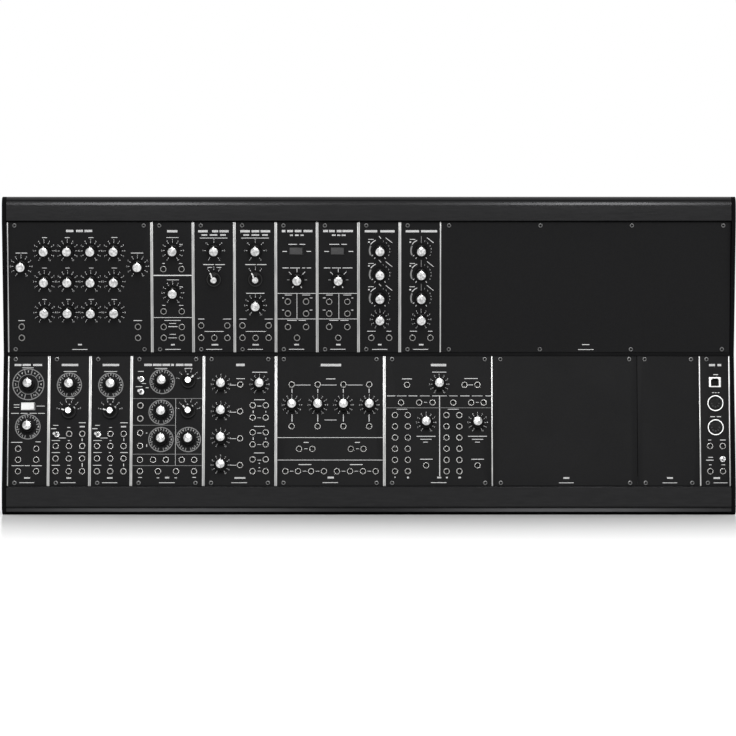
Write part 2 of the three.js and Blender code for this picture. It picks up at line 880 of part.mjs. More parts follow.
// The moving pieces of one module, each in its place and at its rest position.
function placeControls(spec, holder) {
  const put = (name, shares, shape, material) => {
    const [x, z] = placeOn(spec.units, shares);
    const mesh = named(`${spec.name}_${name}`, shape, material);
    mesh.position.set(x, 0, z);
    holder.add(mesh);
    return mesh;
  };
  for (const [name, shares] of Object.entries(spec.knobs ?? {})) {
    put(name, shares, knobShape(), knobSilver);
  }
  for (const [name, shares] of Object.entries(spec.selectors ?? {})) {
    const selector = put(name, shares, selectorShape(), knobSilver);
    selector.rotation.y = THREE.MathUtils.degToRad(shares[2]);
  }
  for (const [name, shares] of Object.entries(spec.toggles ?? {})) {
    const lever = put(name, shares, leverShape(), leverChrome);
    lever.position.y = -leverPivotHeight;
    lever.rotation.z = -leverThrow;
  }
  for (const [name, shares] of Object.entries(spec.rockers ?? {})) {
    const colour = spec.name === "oscillator_driver" ? rockerWhite : rockerBlack;
    const rocker = put(name, shares, rockerShape(rockerWidth, rockerHeight), colour);
    rocker.position.y = rockerPivotDepth;
    rocker.rotation.z = -rockerThrow;
  }
}

// One row of modules side by side on its tilted plane.
function makeRow(modules, depth, height, tilt) {
  const row = new THREE.Group();
  row.position.set(-rowWidth / 2, depth, height);
  row.rotation.x = tilt;
  let unitsUsed = 0;
  for (const spec of modules) {
    const holder = new THREE.Group();
    holder.position.x = unitsUsed * unitWidth + panelGap / 2;
    holder.add(spec.blank ? makeBlankPanel(spec) : makeModule(spec));
    placeControls(spec, holder);
    row.add(holder);
    unitsUsed += spec.units;
  }
  return row;
}

function makePowerRocker() {
  const rocker = named("power_rocker", rockerShape(powerRockerWidth, powerRockerHeight), rockerBlack);
  const [x, z] = switchPlace;
  rocker.rotation.z = Math.PI - rockerThrow;
  rocker.position.set(x, powerRockerFace - rockerPivotDepth, z);
  return rocker;
}

const synthesizer = new THREE.Group();
synthesizer.add(
  makeUpperFrontRail(),
  makeLowerFrontRail(),
  makeMiddleRail(),
  makeCheek("left_side_cheek", -1),
  makeCheek("right_side_cheek", 1),
  makeRearShell(),
  makePowerBoard(),
  makePowerRocker(),
  makeRow(upperModules, rowDeepEdge, upperRowBase, rowTilt),
  makeRow(lowerModules, bandProud, lowerRowBase, -rowTilt),
);

// The frame's origin is on the floor, under the middle of everything that stands on it.
const reach = new THREE.Box3().setFromObject(synthesizer, true);
const group = new THREE.Group();
group.add(synthesizer);
synthesizer.position.y = -(reach.min.y + reach.max.y) / 2;

export default group;
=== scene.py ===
import math

import bmesh
import bpy
from mathutils import Matrix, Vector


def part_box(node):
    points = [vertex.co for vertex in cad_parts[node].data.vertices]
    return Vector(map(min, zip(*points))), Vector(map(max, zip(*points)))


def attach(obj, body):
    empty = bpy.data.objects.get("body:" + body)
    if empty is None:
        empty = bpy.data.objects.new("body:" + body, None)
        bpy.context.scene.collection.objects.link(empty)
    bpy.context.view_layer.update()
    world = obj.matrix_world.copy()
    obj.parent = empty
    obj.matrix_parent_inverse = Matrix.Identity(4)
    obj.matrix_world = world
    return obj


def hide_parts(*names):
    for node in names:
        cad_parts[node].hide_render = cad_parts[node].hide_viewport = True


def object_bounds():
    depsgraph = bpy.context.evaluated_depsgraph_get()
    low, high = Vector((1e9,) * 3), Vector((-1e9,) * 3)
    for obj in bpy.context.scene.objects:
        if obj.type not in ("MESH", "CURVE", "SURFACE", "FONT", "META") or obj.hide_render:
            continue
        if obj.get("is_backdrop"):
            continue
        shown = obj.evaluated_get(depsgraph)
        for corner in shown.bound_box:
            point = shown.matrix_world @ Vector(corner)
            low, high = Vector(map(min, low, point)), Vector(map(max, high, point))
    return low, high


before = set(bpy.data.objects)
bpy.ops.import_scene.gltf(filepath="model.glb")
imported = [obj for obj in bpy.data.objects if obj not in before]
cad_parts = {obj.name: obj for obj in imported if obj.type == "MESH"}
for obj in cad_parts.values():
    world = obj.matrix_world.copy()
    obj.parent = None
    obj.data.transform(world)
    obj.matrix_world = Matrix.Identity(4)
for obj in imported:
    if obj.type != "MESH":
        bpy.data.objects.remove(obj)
cad_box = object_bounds()


# Camera. The instrument is seen square on from about four metres through a long lens,
# level with the lower part of the upper row.
camera = bpy.data.objects.new("camera", bpy.data.cameras.new("camera"))
bpy.context.scene.collection.objects.link(camera)
camera.location = (-0.0008, -4.0471, 0.144)
camera.rotation_euler = (math.radians(90), 0, 0)
camera.data.sensor_fit = "HORIZONTAL"
camera.data.sensor_width = 36
camera.data.lens = 199.54
camera.data.clip_end = 60
bpy.context.scene.camera = camera
bpy.context.scene.view_settings.view_transform = "Standard"


# Room. A white studio, dimmer between the camera and the two upright soft boxes in front
# and above, and the white table that the case stands on and is faintly mirrored in. Seen
# in reflections, the table is painted: painted shade darkens it towards the case's foot,
# and a painted highlight, a glowing strip along the foot that is brighter at two places,
# gives the lower band its bright line.
def feed(tree, socket, given):
    if isinstance(given, bpy.types.Node):
        given = given.outputs[0]
    if isinstance(given, bpy.types.NodeSocket):
        tree.links.new(given, socket)
    else:
        socket.default_value = given


def add_node(tree, kind, inputs=None, **settings):
    node = tree.nodes.new(f"ShaderNode{kind}")
    for setting, choice in settings.items():
        setattr(node, setting, choice)
    for socket, given in (inputs or {}).items():
        feed(tree, node.inputs[socket], given)
    return node


def reckon(tree, operation, *given):
    return add_node(tree, "Math", dict(enumerate(given)), operation=operation)


def ramp(tree, value, low, high, to_low=0.0, to_high=1.0):
    ends = {"From Min": low, "From Max": high, "To Min": to_low, "To Max": to_high}
    return add_node(tree, "MapRange", {"Value": value, **ends})


plain_white = (1, 1, 1, 1)
world = bpy.data.worlds.new("studio")
bpy.context.scene.world = world
world.use_nodes = True
room = world.node_tree
room.nodes.clear()
direction = add_node(room, "TexCoord").outputs["Generated"]
toward = add_node(room, "SeparateXYZ", {"Vector": direction}).outputs
backdrop = ramp(room, toward["Y"], -0.2, 0.3, 0.72, 1.15)
dim_from = ramp(room, toward["Z"], 0.1, 0.26, 1.0, 0.55)
dim_to = ramp(room, toward["Z"], 0.5, 0.8, 0.0, 0.5)
dimmed = reckon(room, "ADD", dim_from, dim_to)
soft_room = add_node(room, "Background", {"Color": plain_white, "Strength": backdrop})
seen_room = add_node(room, "Background", {"Color": plain_white, "Strength": dimmed})
rays = add_node(room, "LightPath").outputs
seen_or_mirrored = reckon(room, "MAXIMUM", rays["Is Camera Ray"], rays["Is Glossy Ray"])
seen_at_all = reckon(room, "MAXIMUM", seen_or_mirrored, rays["Is Transmission Ray"])
either_room = add_node(room, "MixShader", {0: seen_at_all, 1: soft_room, 2: seen_room})
add_node(room, "OutputWorld", {"Surface": either_room})

for side in (-1, 1):
    soft_box = bpy.data.objects.new("soft_box", bpy.data.lights.new("soft_box", "AREA"))
    bpy.context.scene.collection.objects.link(soft_box)
    soft_box.data.shape = "RECTANGLE"
    soft_box.data.size = 0.16
    soft_box.data.size_y = 1.4
    soft_box.data.energy = 14
    soft_box.location = (0.38 * side, -2.45, 1.46)
    soft_box.rotation_euler = (math.radians(61), 0, 0)

table_paint = bpy.data.materials.new("white_table")
table_paint.use_nodes = True
table_nodes = table_paint.node_tree
table_shader = table_nodes.nodes["Principled BSDF"]
table_place = add_node(table_nodes, "TexCoord").outputs["Object"]
table_grain = add_node(table_nodes, "TexNoise", {"Vector": table_place, "Scale": 6})
table_tints = {"Factor": table_grain, "A": (0.95, 0.95, 0.95, 1), "B": (0.96, 0.96, 0.96, 1)}
table_tone = add_node(table_nodes, "Mix", table_tints, data_type="RGBA")
feed(table_nodes, table_shader.inputs["Base Color"], table_tone.outputs["Result"])
feed(table_nodes, table_shader.inputs["Roughness"], 0.8)
feed(table_nodes, table_shader.inputs["Specular IOR Level"], 0.1)
table_spot = add_node(table_nodes, "SeparateXYZ", {"Vector": table_place}).outputs
from_middle = reckon(table_nodes, "ABSOLUTE", table_spot["Y"])
mirror_fade = ramp(table_nodes, from_middle, 0.2, 0.72, 0.36, 0.0)
table_mirror = add_node(table_nodes, "BsdfGlossy", {"Color": plain_white, "Roughness": 0.03})
polish_parts = {0: mirror_fade, 1: table_shader, 2: table_mirror}
table_polish = add_node(table_nodes, "MixShader", polish_parts)
# Painted light, seen only by mirrored rays: painted shade towards the case's foot, and a glowing
# painted highlight strip along the foot, brighter at two places along it.
painted_foot_shade = ramp(table_nodes, from_middle, 0.047, 0.105)
painted_highlight_strip = reckon(table_nodes, "COMPARE", table_spot["Y"], -0.0501, 0.005)
foot_wave = reckon(table_nodes, "MULTIPLY", table_spot["X"], 16.15)
foot_cosine = reckon(table_nodes, "COSINE", foot_wave)
foot_swell = reckon(table_nodes, "MULTIPLY_ADD", foot_cosine, -0.36, 0.64)
foot_lit = reckon(table_nodes, "MULTIPLY", painted_highlight_strip, foot_swell)
painted_foot_light = reckon(table_nodes, "MULTIPLY_ADD", foot_lit, 4, painted_foot_shade)
table_glow = add_node(table_nodes, "Emission", {"Color": plain_white, "Strength": painted_foot_light})
rays = add_node(table_nodes, "LightPath").outputs
mirrored = reckon(table_nodes, "MAXIMUM", rays["Is Glossy Ray"], rays["Is Transmission Ray"])
table_either = add_node(table_nodes, "MixShader", {0: mirrored, 1: table_polish, 2: table_glow})
feed(table_nodes, table_nodes.nodes["Material Output"].inputs["Surface"], table_either)
table_top = bmesh.new()
bmesh.ops.create_grid(table_top, x_segments=2, y_segments=2, size=8)
table_mesh = bpy.data.meshes.new("table")
table_top.to_mesh(table_mesh)
table_top.free()
table_mesh.materials.append(table_paint)
table = bpy.data.objects.new("table", table_mesh)
bpy.context.scene.collection.objects.link(table)
table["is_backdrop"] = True


# End cheeks. Each is a 4 mm aluminium plate with a vee cut into its front edge, powder
# coated black, and held to the rails by screws sunk flush into its outer face.
def start_group(name, inputs, outputs):
    group = bpy.data.node_groups.new(name, "ShaderNodeTree")
    for label, value in inputs.items():
        kind = "NodeSocketVector" if isinstance(value, tuple) else "NodeSocketFloat"
        socket = group.interface.new_socket(label, in_out="INPUT", socket_type=kind)
        socket.default_value = value
    for label, kind in outputs.items():
        group.interface.new_socket(label, in_out="OUTPUT", socket_type=kind)
    return group, group.nodes.new("NodeGroupInput"), group.nodes.new("NodeGroupOutput")


surface_grain, given, made = start_group(
    "surface_grain",
    {"Scale": 900, "Depth": 0.00002, "Stretch": (1, 1, 1)},
    {"Mask": "NodeSocketFloat", "Normal": "NodeSocketVector"},
)
place = add_node(surface_grain, "TexCoord").outputs["Object"]
stretch_inputs = {0: place, 1: given.outputs["Stretch"]}
stretched = add_node(surface_grain, "VectorMath", stretch_inputs, operation="MULTIPLY")
noise_inputs = {"Vector": stretched, "Scale": given.outputs["Scale"], "Detail": 3}
noise = add_node(surface_grain, "TexNoise", noise_inputs)
bump = add_node(surface_grain, "Bump", {"Height": noise, "Distance": given.outputs["Depth"]})
feed(surface_grain, made.inputs["Mask"], ramp(surface_grain, noise, 0.35, 0.65))
feed(surface_grain, made.inputs["Normal"], bump)

handling_haze, given, made = start_group(
    "handling_haze",
    {"Scale": 20, "Cleanest": 0.4, "Dullest": 0.5},
    {"Roughness": "NodeSocketFloat"},
)
place = add_node(handling_haze, "TexCoord").outputs["Object"]
noise_inputs = {"Vector": place, "Scale": given.outputs["Scale"], "Detail": 5}
noise = add_node(handling_haze, "TexNoise", noise_inputs)
ends = given.outputs["Cleanest"], given.outputs["Dullest"]
feed(handling_haze, made.inputs["Roughness"], ramp(handling_haze, noise, 0.3, 0.7, *ends))


def finish(name, low, high, rough, grain, stretch=(1, 1, 1), metal=0.0, specular=0.5):
    low, high = [(tint,) * 3 if isinstance(tint, float) else tint for tint in (low, high)]
    material = bpy.data.materials.new(name)
    material.use_nodes = True
    tree = material.node_tree
    coat_inputs = {"Scale": grain[0], "Depth": grain[1], "Stretch": stretch}
    coat = add_node(tree, "Group", coat_inputs, node_tree=surface_grain)
    haze_inputs = {"Cleanest": rough[0], "Dullest": rough[1]}
    haze = add_node(tree, "Group", haze_inputs, node_tree=handling_haze)
    tints = {"Factor": coat.outputs["Mask"], "A": (*low, 1), "B": (*high, 1)}
    tone = add_node(tree, "Mix", tints, data_type="RGBA")
    looks = {"Base Color": tone.outputs["Result"], "Normal": coat.outputs["Normal"]}
    looks |= {"Roughness": haze, "Metallic": metal, "Specular IOR Level": specular}
    for socket, given in looks.items():
        feed(tree, tree.nodes["Principled BSDF"].inputs[socket], given)
    return material


powder_coat = finish(
    "black_powder_coat",
    (0.003, 0.003, 0.0033),
    (0.006, 0.006, 0.0064),
    (0.5, 0.62),
    (1400, 0.00006),
    specular=0.02,
)
screw_steel = finish("black_steel", (0.010, 0.010, 0.011), 0.03, (0.3, 0.42), (2500, 0.00001))


def add_piece(name, shape, material, body="case", stands_for=(), place=Matrix()):
    shape.transform(place)
    mesh = bpy.data.meshes.new(name)
    shape.to_mesh(mesh)
    shape.free()
    mesh.materials.append(material)
    mesh.polygons.foreach_set("use_smooth", [True] * len(mesh.polygons))
    mesh.set_sharp_from_angle(angle=math.radians(35))
    piece = bpy.data.objects.new(name, mesh)
    bpy.context.scene.collection.objects.link(piece)
    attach(piece, body)
    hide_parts(*stands_for)
    return piece


def arc(x, z, radius, start, sweep, steps):
    turns = [math.radians(start + sweep * i / steps) for i in range(steps + 1)]
    return [(x + radius * math.cos(turn), z + radius * math.sin(turn)) for turn in turns]


def ring_of_points(x, z, radius, count):
    turns = [2 * math.pi * i / count for i in range(count)]
    return [(x + radius * math.cos(turn), z + radius * math.sin(turn)) for turn in turns]


def add_loop(shape, points, y=0.0):
    corners = [shape.verts.new((x, y, z)) for x, z in points]
    return [shape.edges.new(pair) for pair in zip(corners, corners[1:] + corners[:1])]


def push_out(shape, faces, step):
    pushed = bmesh.ops.extrude_face_region(shape, geom=faces)["geom"]
    far = [made for made in pushed if isinstance(made, bmesh.types.BMVert)]
    bmesh.ops.translate(shape, vec=step, verts=far)
    bmesh.ops.recalc_face_normals(shape, faces=shape.faces[:])


def soften(shape, edges, offset, segments=2):
    bmesh.ops.bevel(
        shape,
        geom=edges,
        offset=offset,
        affect="EDGES",
        segments=segments,
        profile=0.5,
        material=-1,
    )


def pierced_plate(outline, holes, thickness, softened=0.0):
    plate = bmesh.new()
    rim = add_loop(plate, outline)
    for hole in holes:
        add_loop(plate, hole)
    bmesh.ops.triangle_fill(plate, use_beauty=True, edges=plate.edges[:], normal=(0, -1, 0))
    push_out(plate, plate.faces[:], (0, thickness, 0))
    if softened:
        soften(plate, [edge for edge in rim if edge.is_valid], softened)
    return plate


def turned_piece(profile, steps):
    shape = bmesh.new()
    corners = [shape.verts.new((radius, -height, 0)) for radius, height in profile]
    edges = [shape.edges.new(pair) for pair in zip(corners, corners[1:])]
    bmesh.ops.spin(
        shape,
        geom=corners + edges,
        axis=(0, 1, 0),
        angle=2 * math.pi,
        steps=steps,
        use_merge=True,
    )
    bmesh.ops.remove_doubles(shape, verts=shape.verts[:], dist=0.0005)
    bmesh.ops.recalc_face_normals(shape, faces=shape.faces[:])
    return shape


def join_shape(target, part, place=Matrix()):
    part.transform(place)
    loose = bpy.data.meshes.new("loose")
    part.to_mesh(loose)
    part.free()
    target.from_mesh(loose)
    bpy.data.meshes.remove(loose)


MM = Matrix.Scale(0.001, 4)
row_tilt = math.radians(7.5)
case_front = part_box("lower_front_rail")[0].y
low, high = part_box("right_side_cheek")
case_height = high.z * 1000
case_depth = (high.y - low.y) * 1000
case_middle = 157.601
vee_depth = 22
rounding = 9
rear_corner = 3
lower_band_top = 26.7
upper_band_height = 23.8
outline = [(vee_depth, case_middle), (0, lower_band_top)]
outline += arc(rounding, rounding, rounding, 180, 90, 10)
outline += [(case_depth - rear_corner, 0), (case_depth, rear_corner)]
outline += [(case_depth, case_height - rear_corner), (case_depth - rear_corner, case_height)]
outline += arc(rounding, case_height - rounding, rounding, 90, 90, 10)
outline += [(0, case_height - upper_band_height)]
screw_places = [(24, 12), (24, case_height - 12), (44, case_middle)]
screw_places += [(92, 14), (92, case_middle), (92, case_height - 14)]
holes = [ring_of_points(y, z, 3.2, 24) for y, z in screw_places]
sunk_head = [(0, -3.4), (1.5, -3.4), (1.5, -2.4), (3.05, -0.5), (3.05, -0.1), (2.8, 0)]
sunk_head += [(1.45, 0), (1.25, -0.15), (1.25, -1.8), (0, -1.8)]
for side, outer, turn in (("left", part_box("left_side_cheek")[0].x, -90), ("right", high.x, 90)):
    plate = pierced_plate(outline, holes, 4, softened=0.6)
    plate.transform(Matrix.Rotation(math.radians(90), 4, "Z"))
    if side == "left":
        plate.transform(Matrix.Diagonal((-1, 1, 1, 1)))
        bmesh.ops.reverse_faces(plate, faces=plate.faces[:])
    at = Matrix.Translation((outer, case_front, 0)) @ MM
    add_piece(f"{side}_cheek", plate, powder_coat, "case", [f"{side}_side_cheek"], at)
    screws = bmesh.new()
    facing = Matrix.Rotation(math.radians(turn), 4, "Z")
    for y, z in screw_places:
        head = turned_piece(sunk_head, 24)
        join_shape(screws, head, Matrix.Translation((0, y, z)) @ facing)
    add_piece(f"{side}_cheek_screws", screws, screw_steel, place=at)


# Front bands. Each is one black anodised extrusion along a row, rounded at its outer
# corner, with a lip behind the row that the panels are screwed to. The upper band's faces
# behind its front and below its top take the rail's darker finish as painted shade in the
# gap between the band and the upper row.
anodised = finish(
    "black_anodised_band",
    (0.0165, 0.0165, 0.0172),
    (0.0220, 0.0220, 0.0228),
    (0.17, 0.19),
    (1500, 0.00001),
    stretch=(0.05, 1, 1),
    metal=0.85,
)
# The rail's darker, duller finish, which also serves as painted shade on the upper band.
rail_finish_and_lip_shade = finish(
    "black_rail_and_painted_lip_shade",
    (0.0060, 0.0060, 0.0063),
    (0.0085, 0.0085, 0.0089),
    (0.5, 0.6),
    (420, 0.00001),
    stretch=(0.05, 1, 1),
    specular=0.03,
)


def behind_panel(band, along, inward):
    sine, cosine = math.sin(row_tilt), math.cos(row_tilt)
    return (
        4.5 + along * sine + inward * cosine,
        band + 1.5 + along * cosine - inward * sine,
    )


def behind_panel_at(band, level, inward):
    rise = level - band - 1.5 + inward * math.sin(row_tilt)
    return behind_panel(band, rise / math.cos(row_tilt), inward)


def band_shape(band, length):
    rail_lap = 9.492
    wall = 3
    lip_front, lip_back = 2.3, 10.3
    section = [(0, 0), (30, 0), (30, wall), (wall, wall), (wall, band - wall)]
    section += [
        behind_panel_at(band, band - wall, lip_back),
        behind_panel(band, rail_lap, lip_back),
        behind_panel(band, rail_lap, lip_front),
        behind_panel_at(band, band - 0.35, lip_front),
        (0, band),
    ]
    shape = bmesh.new()
    end = shape.faces.new([shape.verts.new((-length / 2, y, z)) for y, z in section])
    push_out(shape, [end], (length, 0, 0))
    for corner, radius, steps in ((0, 9, 12), (3, 6, 8), (9, 0.1, 1), (1, 0.4, 2), (5, 0.5, 2)):
        edges = [
            edge
            for edge in shape.edges
            if all(math.dist(vert.co.yz, section[corner]) < 0.01 for vert in edge.verts)
        ]
        soften(shape, edges, radius, steps)
    return shape


rail_low, rail_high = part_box("lower_front_rail")
row_width = (rail_high.x - rail_low.x) * 1000
case_place = Matrix.Translation((0, case_front, 0)) @ MM
lower_band = band_shape(lower_band_top, row_width)
add_piece("lower_band", lower_band, anodised, "case", ["lower_front_rail"], case_place)
upper_band = band_shape(upper_band_height, row_width)
flip = Matrix.Translation((0, 0, case_height)) @ Matrix.Diagonal((1, 1, -1, 1))
upper_band.transform(flip)
bmesh.ops.reverse_faces(upper_band, faces=upper_band.faces[:])
# Painted shade: the faces behind the front and below the top take the darker second finish.
for face in upper_band.faces:
    middle = face.calc_center_median()
    face.material_index = int(middle.y > 1 and middle.z < case_height - 4)
upper = add_piece(
    "upper_band", upper_band, anodised, "case", ["upper_front_rail"], case_place
)
upper.data.materials.append(rail_finish_and_lip_shade)


# Rail between the rows. It is the solid that the panels' inner ends are screwed to, and
# only its dark nose shows, in the gap between the rows.
middle_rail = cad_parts["middle_rail"]
middle_rail.data.materials.clear()
middle_rail.data.materials.append(rail_finish_and_lip_shade)


# Rear shell. One steel sheet is folded round the back from lip to lip, with two banks of
# vent slots high up, a round hole for the power inlet and a square one for its switch.
sheet = 1.5
bend = 3
lip_at, lip_drop, lip_length = 30.3, 3.3, 8.3
vents, vent_spacing = 12, 9
inlet_x = (0.94 - 0.5) * row_width
switch_x = (0.9 - 0.5) * row_width


def slot_outline(x, z, width, height):
    radius = width / 2
    reach = height / 2 - radius
    return arc(x, z + reach, radius, 0, 180, 6) + arc(x, z - reach, radius, 180, 180, 6)


def rounded_box_outline(x, z, width, height, radius, steps=4):
    points = []
    for across, up, start in ((1, 1, 0), (-1, 1, 90), (-1, -1, 180), (1, -1, 270)):
        corner = x + across * (width / 2 - radius), z + up * (height / 2 - radius)
        points += arc(*corner, radius, start, 90, steps)
    return points


def only(kind, geometry):
    return [made for made in geometry if isinstance(made, kind)]


shell = bmesh.new()
left, right, top = -row_width / 2, row_width / 2, case_height - bend
add_loop(shell, [(left, bend), (right, bend), (right, top), (left, top)], case_depth)
for bank in (0.24, 0.76):
    for i in range(vents):
        x = (bank - 0.5) * row_width + (i - (vents - 1) / 2) * vent_spacing
        add_loop(shell, slot_outline(x, case_height * 0.8, 3, 40), case_depth)
add_loop(shell, ring_of_points(inlet_x, case_middle, 5.95, 32), case_depth)
add_loop(shell, rounded_box_outline(switch_x, case_middle, 22.8, 15.2, 1), case_depth)
bmesh.ops.triangle_fill(shell, use_beauty=True, edges=shell.edges[:], normal=(0, 1, 0))
for level, turn, inward in ((top, 90, -1), (bend, -90, 1)):
    edges = [
        edge for edge in shell.edges if all(abs(vert.co.z - level) < 0.01 for vert in edge.verts)
    ]
    bent = bmesh.ops.spin(
        shell,
        geom=list({vert for edge in edges for vert in edge.verts}) + edges,
        cent=(0, case_depth - bend, level),
        axis=(1, 0, 0),
        angle=math.radians(turn),
        steps=6,
    )
    last = only(bmesh.types.BMEdge, bent["geom_last"])
    to_lip = lip_at - (case_depth - bend)
    for step in ((0, to_lip, 0), (0, 0, inward * lip_drop), (0, -lip_length, 0)):
        pushed = bmesh.ops.extrude_edge_only(shell, edges=last)["geom"]
        last = only(bmesh.types.BMEdge, pushed)
        bmesh.ops.translate(shell, vec=step, verts=only(bmesh.types.BMVert, pushed))
bmesh.ops.remove_doubles(shell, verts=shell.verts[:], dist=0.001)
bmesh.ops.recalc_face_normals(shell, faces=shell.faces[:])
back = [face for face in shell.faces if abs(face.calc_center_median().y - case_depth) < 0.01]
if sum(face.normal.y for face in back) < 0:
    bmesh.ops.reverse_faces(shell, faces=shell.faces[:])
rear = add_piece("rear_sheet", shell, powder_coat, "case", ["rear_shell"], case_place)
wall = rear.modifiers.new("sheet", "SOLIDIFY")
wall.thickness = sheet / 1000
wall.offset = -1


# Power supply. The bus board stands off the back sheet, with two rows of headers for the
# modules' leads, a converter under a can, the inlet's threaded barrel and the housing of the rocker.
smooth_grain = (900, 0.000005)
board_green = finish(
    "board_lacquer", (0.010, 0.060, 0.030), (0.014, 0.075, 0.038), (0.3, 0.4), (600, 0.00001)
)
black_nylon = finish("black_nylon", 0.010, 0.016, (0.5, 0.6), (2000, 0.00002))
tin_plate = finish(
    "tin_plate", (0.42, 0.42, 0.41), (0.55, 0.55, 0.54), (0.28, 0.4), smooth_grain, metal=1.0
)
nickel = finish(
    "nickel_plate",
    (0.29, 0.285, 0.28),
    (0.45, 0.445, 0.435),
    (0.2, 0.32),
    (900, 0.000006),
    metal=1.0,
)


def soft_block(x, y, z, width, depth, height, radius=0.0):
    shape = bmesh.new()
    bmesh.ops.create_cube(shape, size=1)
    bmesh.ops.scale(shape, vec=(width, depth, height), verts=shape.verts[:])
    bmesh.ops.translate(shape, vec=(x, y, z), verts=shape.verts[:])
    if radius:
        soften(shape, shape.edges[:], radius)
    return shape


def box_frame(x, z, outer, inner, depth, steps=4):
    rims = [rounded_box_outline(x, z, *sizes, steps) for sizes in (outer, inner)]
    return pierced_plate(rims[0], rims[1:], depth)


def grid(columns, rows):
    return [(column, row) for column in columns for row in rows]


def add_to_case(name, shape, material):
    add_piece(name, shape, material, place=case_place)


board_thickness = 1.6
post_height = 6.7
board_back = case_depth - sheet - 7
board_front = board_back - board_thickness
board_middle = (board_front + board_back) / 2
bus_width, bus_height = row_width - 16, 70
headers_per_row, header_span = 7, 0.84
pin_columns, pin_spacing = 8, 2.286
bus = soft_block(0, board_middle, case_middle, bus_width, board_thickness, bus_height, 0.2)
add_piece("bus_board", bus, board_green, "case", ["power_bus_board"], case_place)
headers, pins = bmesh.new(), bmesh.new()
for share in (0.3, 0.7):
    for i in range(headers_per_row):
        x = (i + 0.5) / headers_per_row * header_span * bus_width - bus_width / 2
        z = case_middle - bus_height / 2 + bus_height * share
        shroud = box_frame(0, 0, (21, 9, 0.4), (18.6, 6.6, 0.3), 8.5, steps=1)
        join_shape(headers, shroud, Matrix.Translation((x, board_front - 8.5, z)))
        join_shape(headers, soft_block(x, board_front - 0.75, z, 18.6, 1.5, 6.6))
        for column, up in grid(range(pin_columns), (-1.27, 1.27)):
            across = x + (column - (pin_columns - 1) / 2) * pin_spacing
            join_shape(pins, soft_block(across, board_front - 4, z + up, 0.64, 6, 0.64))
add_to_case("bus_headers", headers, black_nylon)
add_to_case("bus_pins", pins, tin_plate)
can_x = (inlet_x + switch_x) / 2
can = soft_block(can_x, board_front - 7, case_middle, 40, 14, 50, 1.2)
add_to_case("converter_can", can, tin_plate)
posts = bmesh.new()
for share in (0.1, 0.5, 0.8):
    post = turned_piece([(0, 0), (2.2, 0), (2.6, 0.4), (2.6, 6.3), (2.2, 6.7), (0, 6.7)], 6)
    at = Matrix.Translation(((share - 0.5) * bus_width, board_back + post_height, case_middle))
    join_shape(posts, post, at)
add_to_case("bus_board_posts", posts, nickel)
barrel_profile = [(0, -6.7), (1, -6.7), (1, -1.5), (0.7, -1.2), (0, -1.2)]
sleeve_profile = [(0, -6.9), (5.5, -6.9), (5.5, -0.4), (5.2, 0), (3.2, 0), (3, -0.3)]
sleeve_profile += [(3, -6.7), (0, -6.7)]
inlet_at = Matrix.Translation((inlet_x, case_depth - 0.3, case_middle))
for name, profile, steps, material in (
    ("power_inlet", sleeve_profile, 32, black_nylon),
    ("power_inlet_pin", barrel_profile, 16, nickel),
):
    shape = turned_piece(profile, steps)
    shape.transform(inlet_at @ Matrix.Rotation(math.pi, 4, "Z"))
    add_to_case(name, shape, material)
housing = box_frame(switch_x, case_middle, (22.2, 14.6, 0.8), (18.2, 10.6, 0.4), 9)
join_shape(housing, soft_block(switch_x, 0.6, case_middle, 18.4, 1.2, 10.8))
bmesh.ops.translate(housing, vec=(0, case_depth - 9.3, 0), verts=housing.verts[:])
add_to_case("switch_housing", housing, black_nylon)


# Rockers. Each is one moulded paddle on a hidden pivot, with a dished face that stands up
# at the end that is off. The one on the driver panel is white and the rest are black.
moulded_grain = (1200, 0.00001)
white_plastic = finish(
    "white_rocker_plastic", (0.84, 0.84, 0.83), (0.90, 0.90, 0.89), (0.35, 0.45), moulded_grain
)
black_plastic = finish("black_rocker_plastic", 0.012, 0.02, (0.35, 0.45), moulded_grain)


def rocker_paddle(width, height):
    face = -1.5
    end_rise, slope_rise, dish_rise = face - 1.6, face - 0.95, face - 0.8
    section = [(-width / 2, end_rise), (-width / 4, slope_rise), (0, dish_rise)]
    section += [(width / 4, slope_rise), (width / 2, end_rise), (width / 2, face)]
    section += [(3.5, face + 4), (-3.5, face + 4), (-width / 2, face)]
    shape = bmesh.new()
    end = shape.faces.new([shape.verts.new((x, y, -height / 2)) for x, y in section])
    push_out(shape, [end], (0, 0, height))
    corners = [edge for edge in shape.edges if edge.calc_face_angle() > math.radians(30)]
    soften(shape, corners, 0.3, 3)
    return shape


rocker_rest = Matrix.Rotation(math.radians(-9), 4, "Z")
power_pivot = Matrix.Translation((switch_x, case_depth - 3.2 - 1.5, case_middle))
add_piece(
    "power_rocker_paddle",
    rocker_paddle(17, 10),
    black_plastic,
    "power_rocker",
    ["power_rocker"],
    case_place @ power_pivot @ Matrix.Rotation(math.pi, 4, "Z") @ rocker_rest,
)


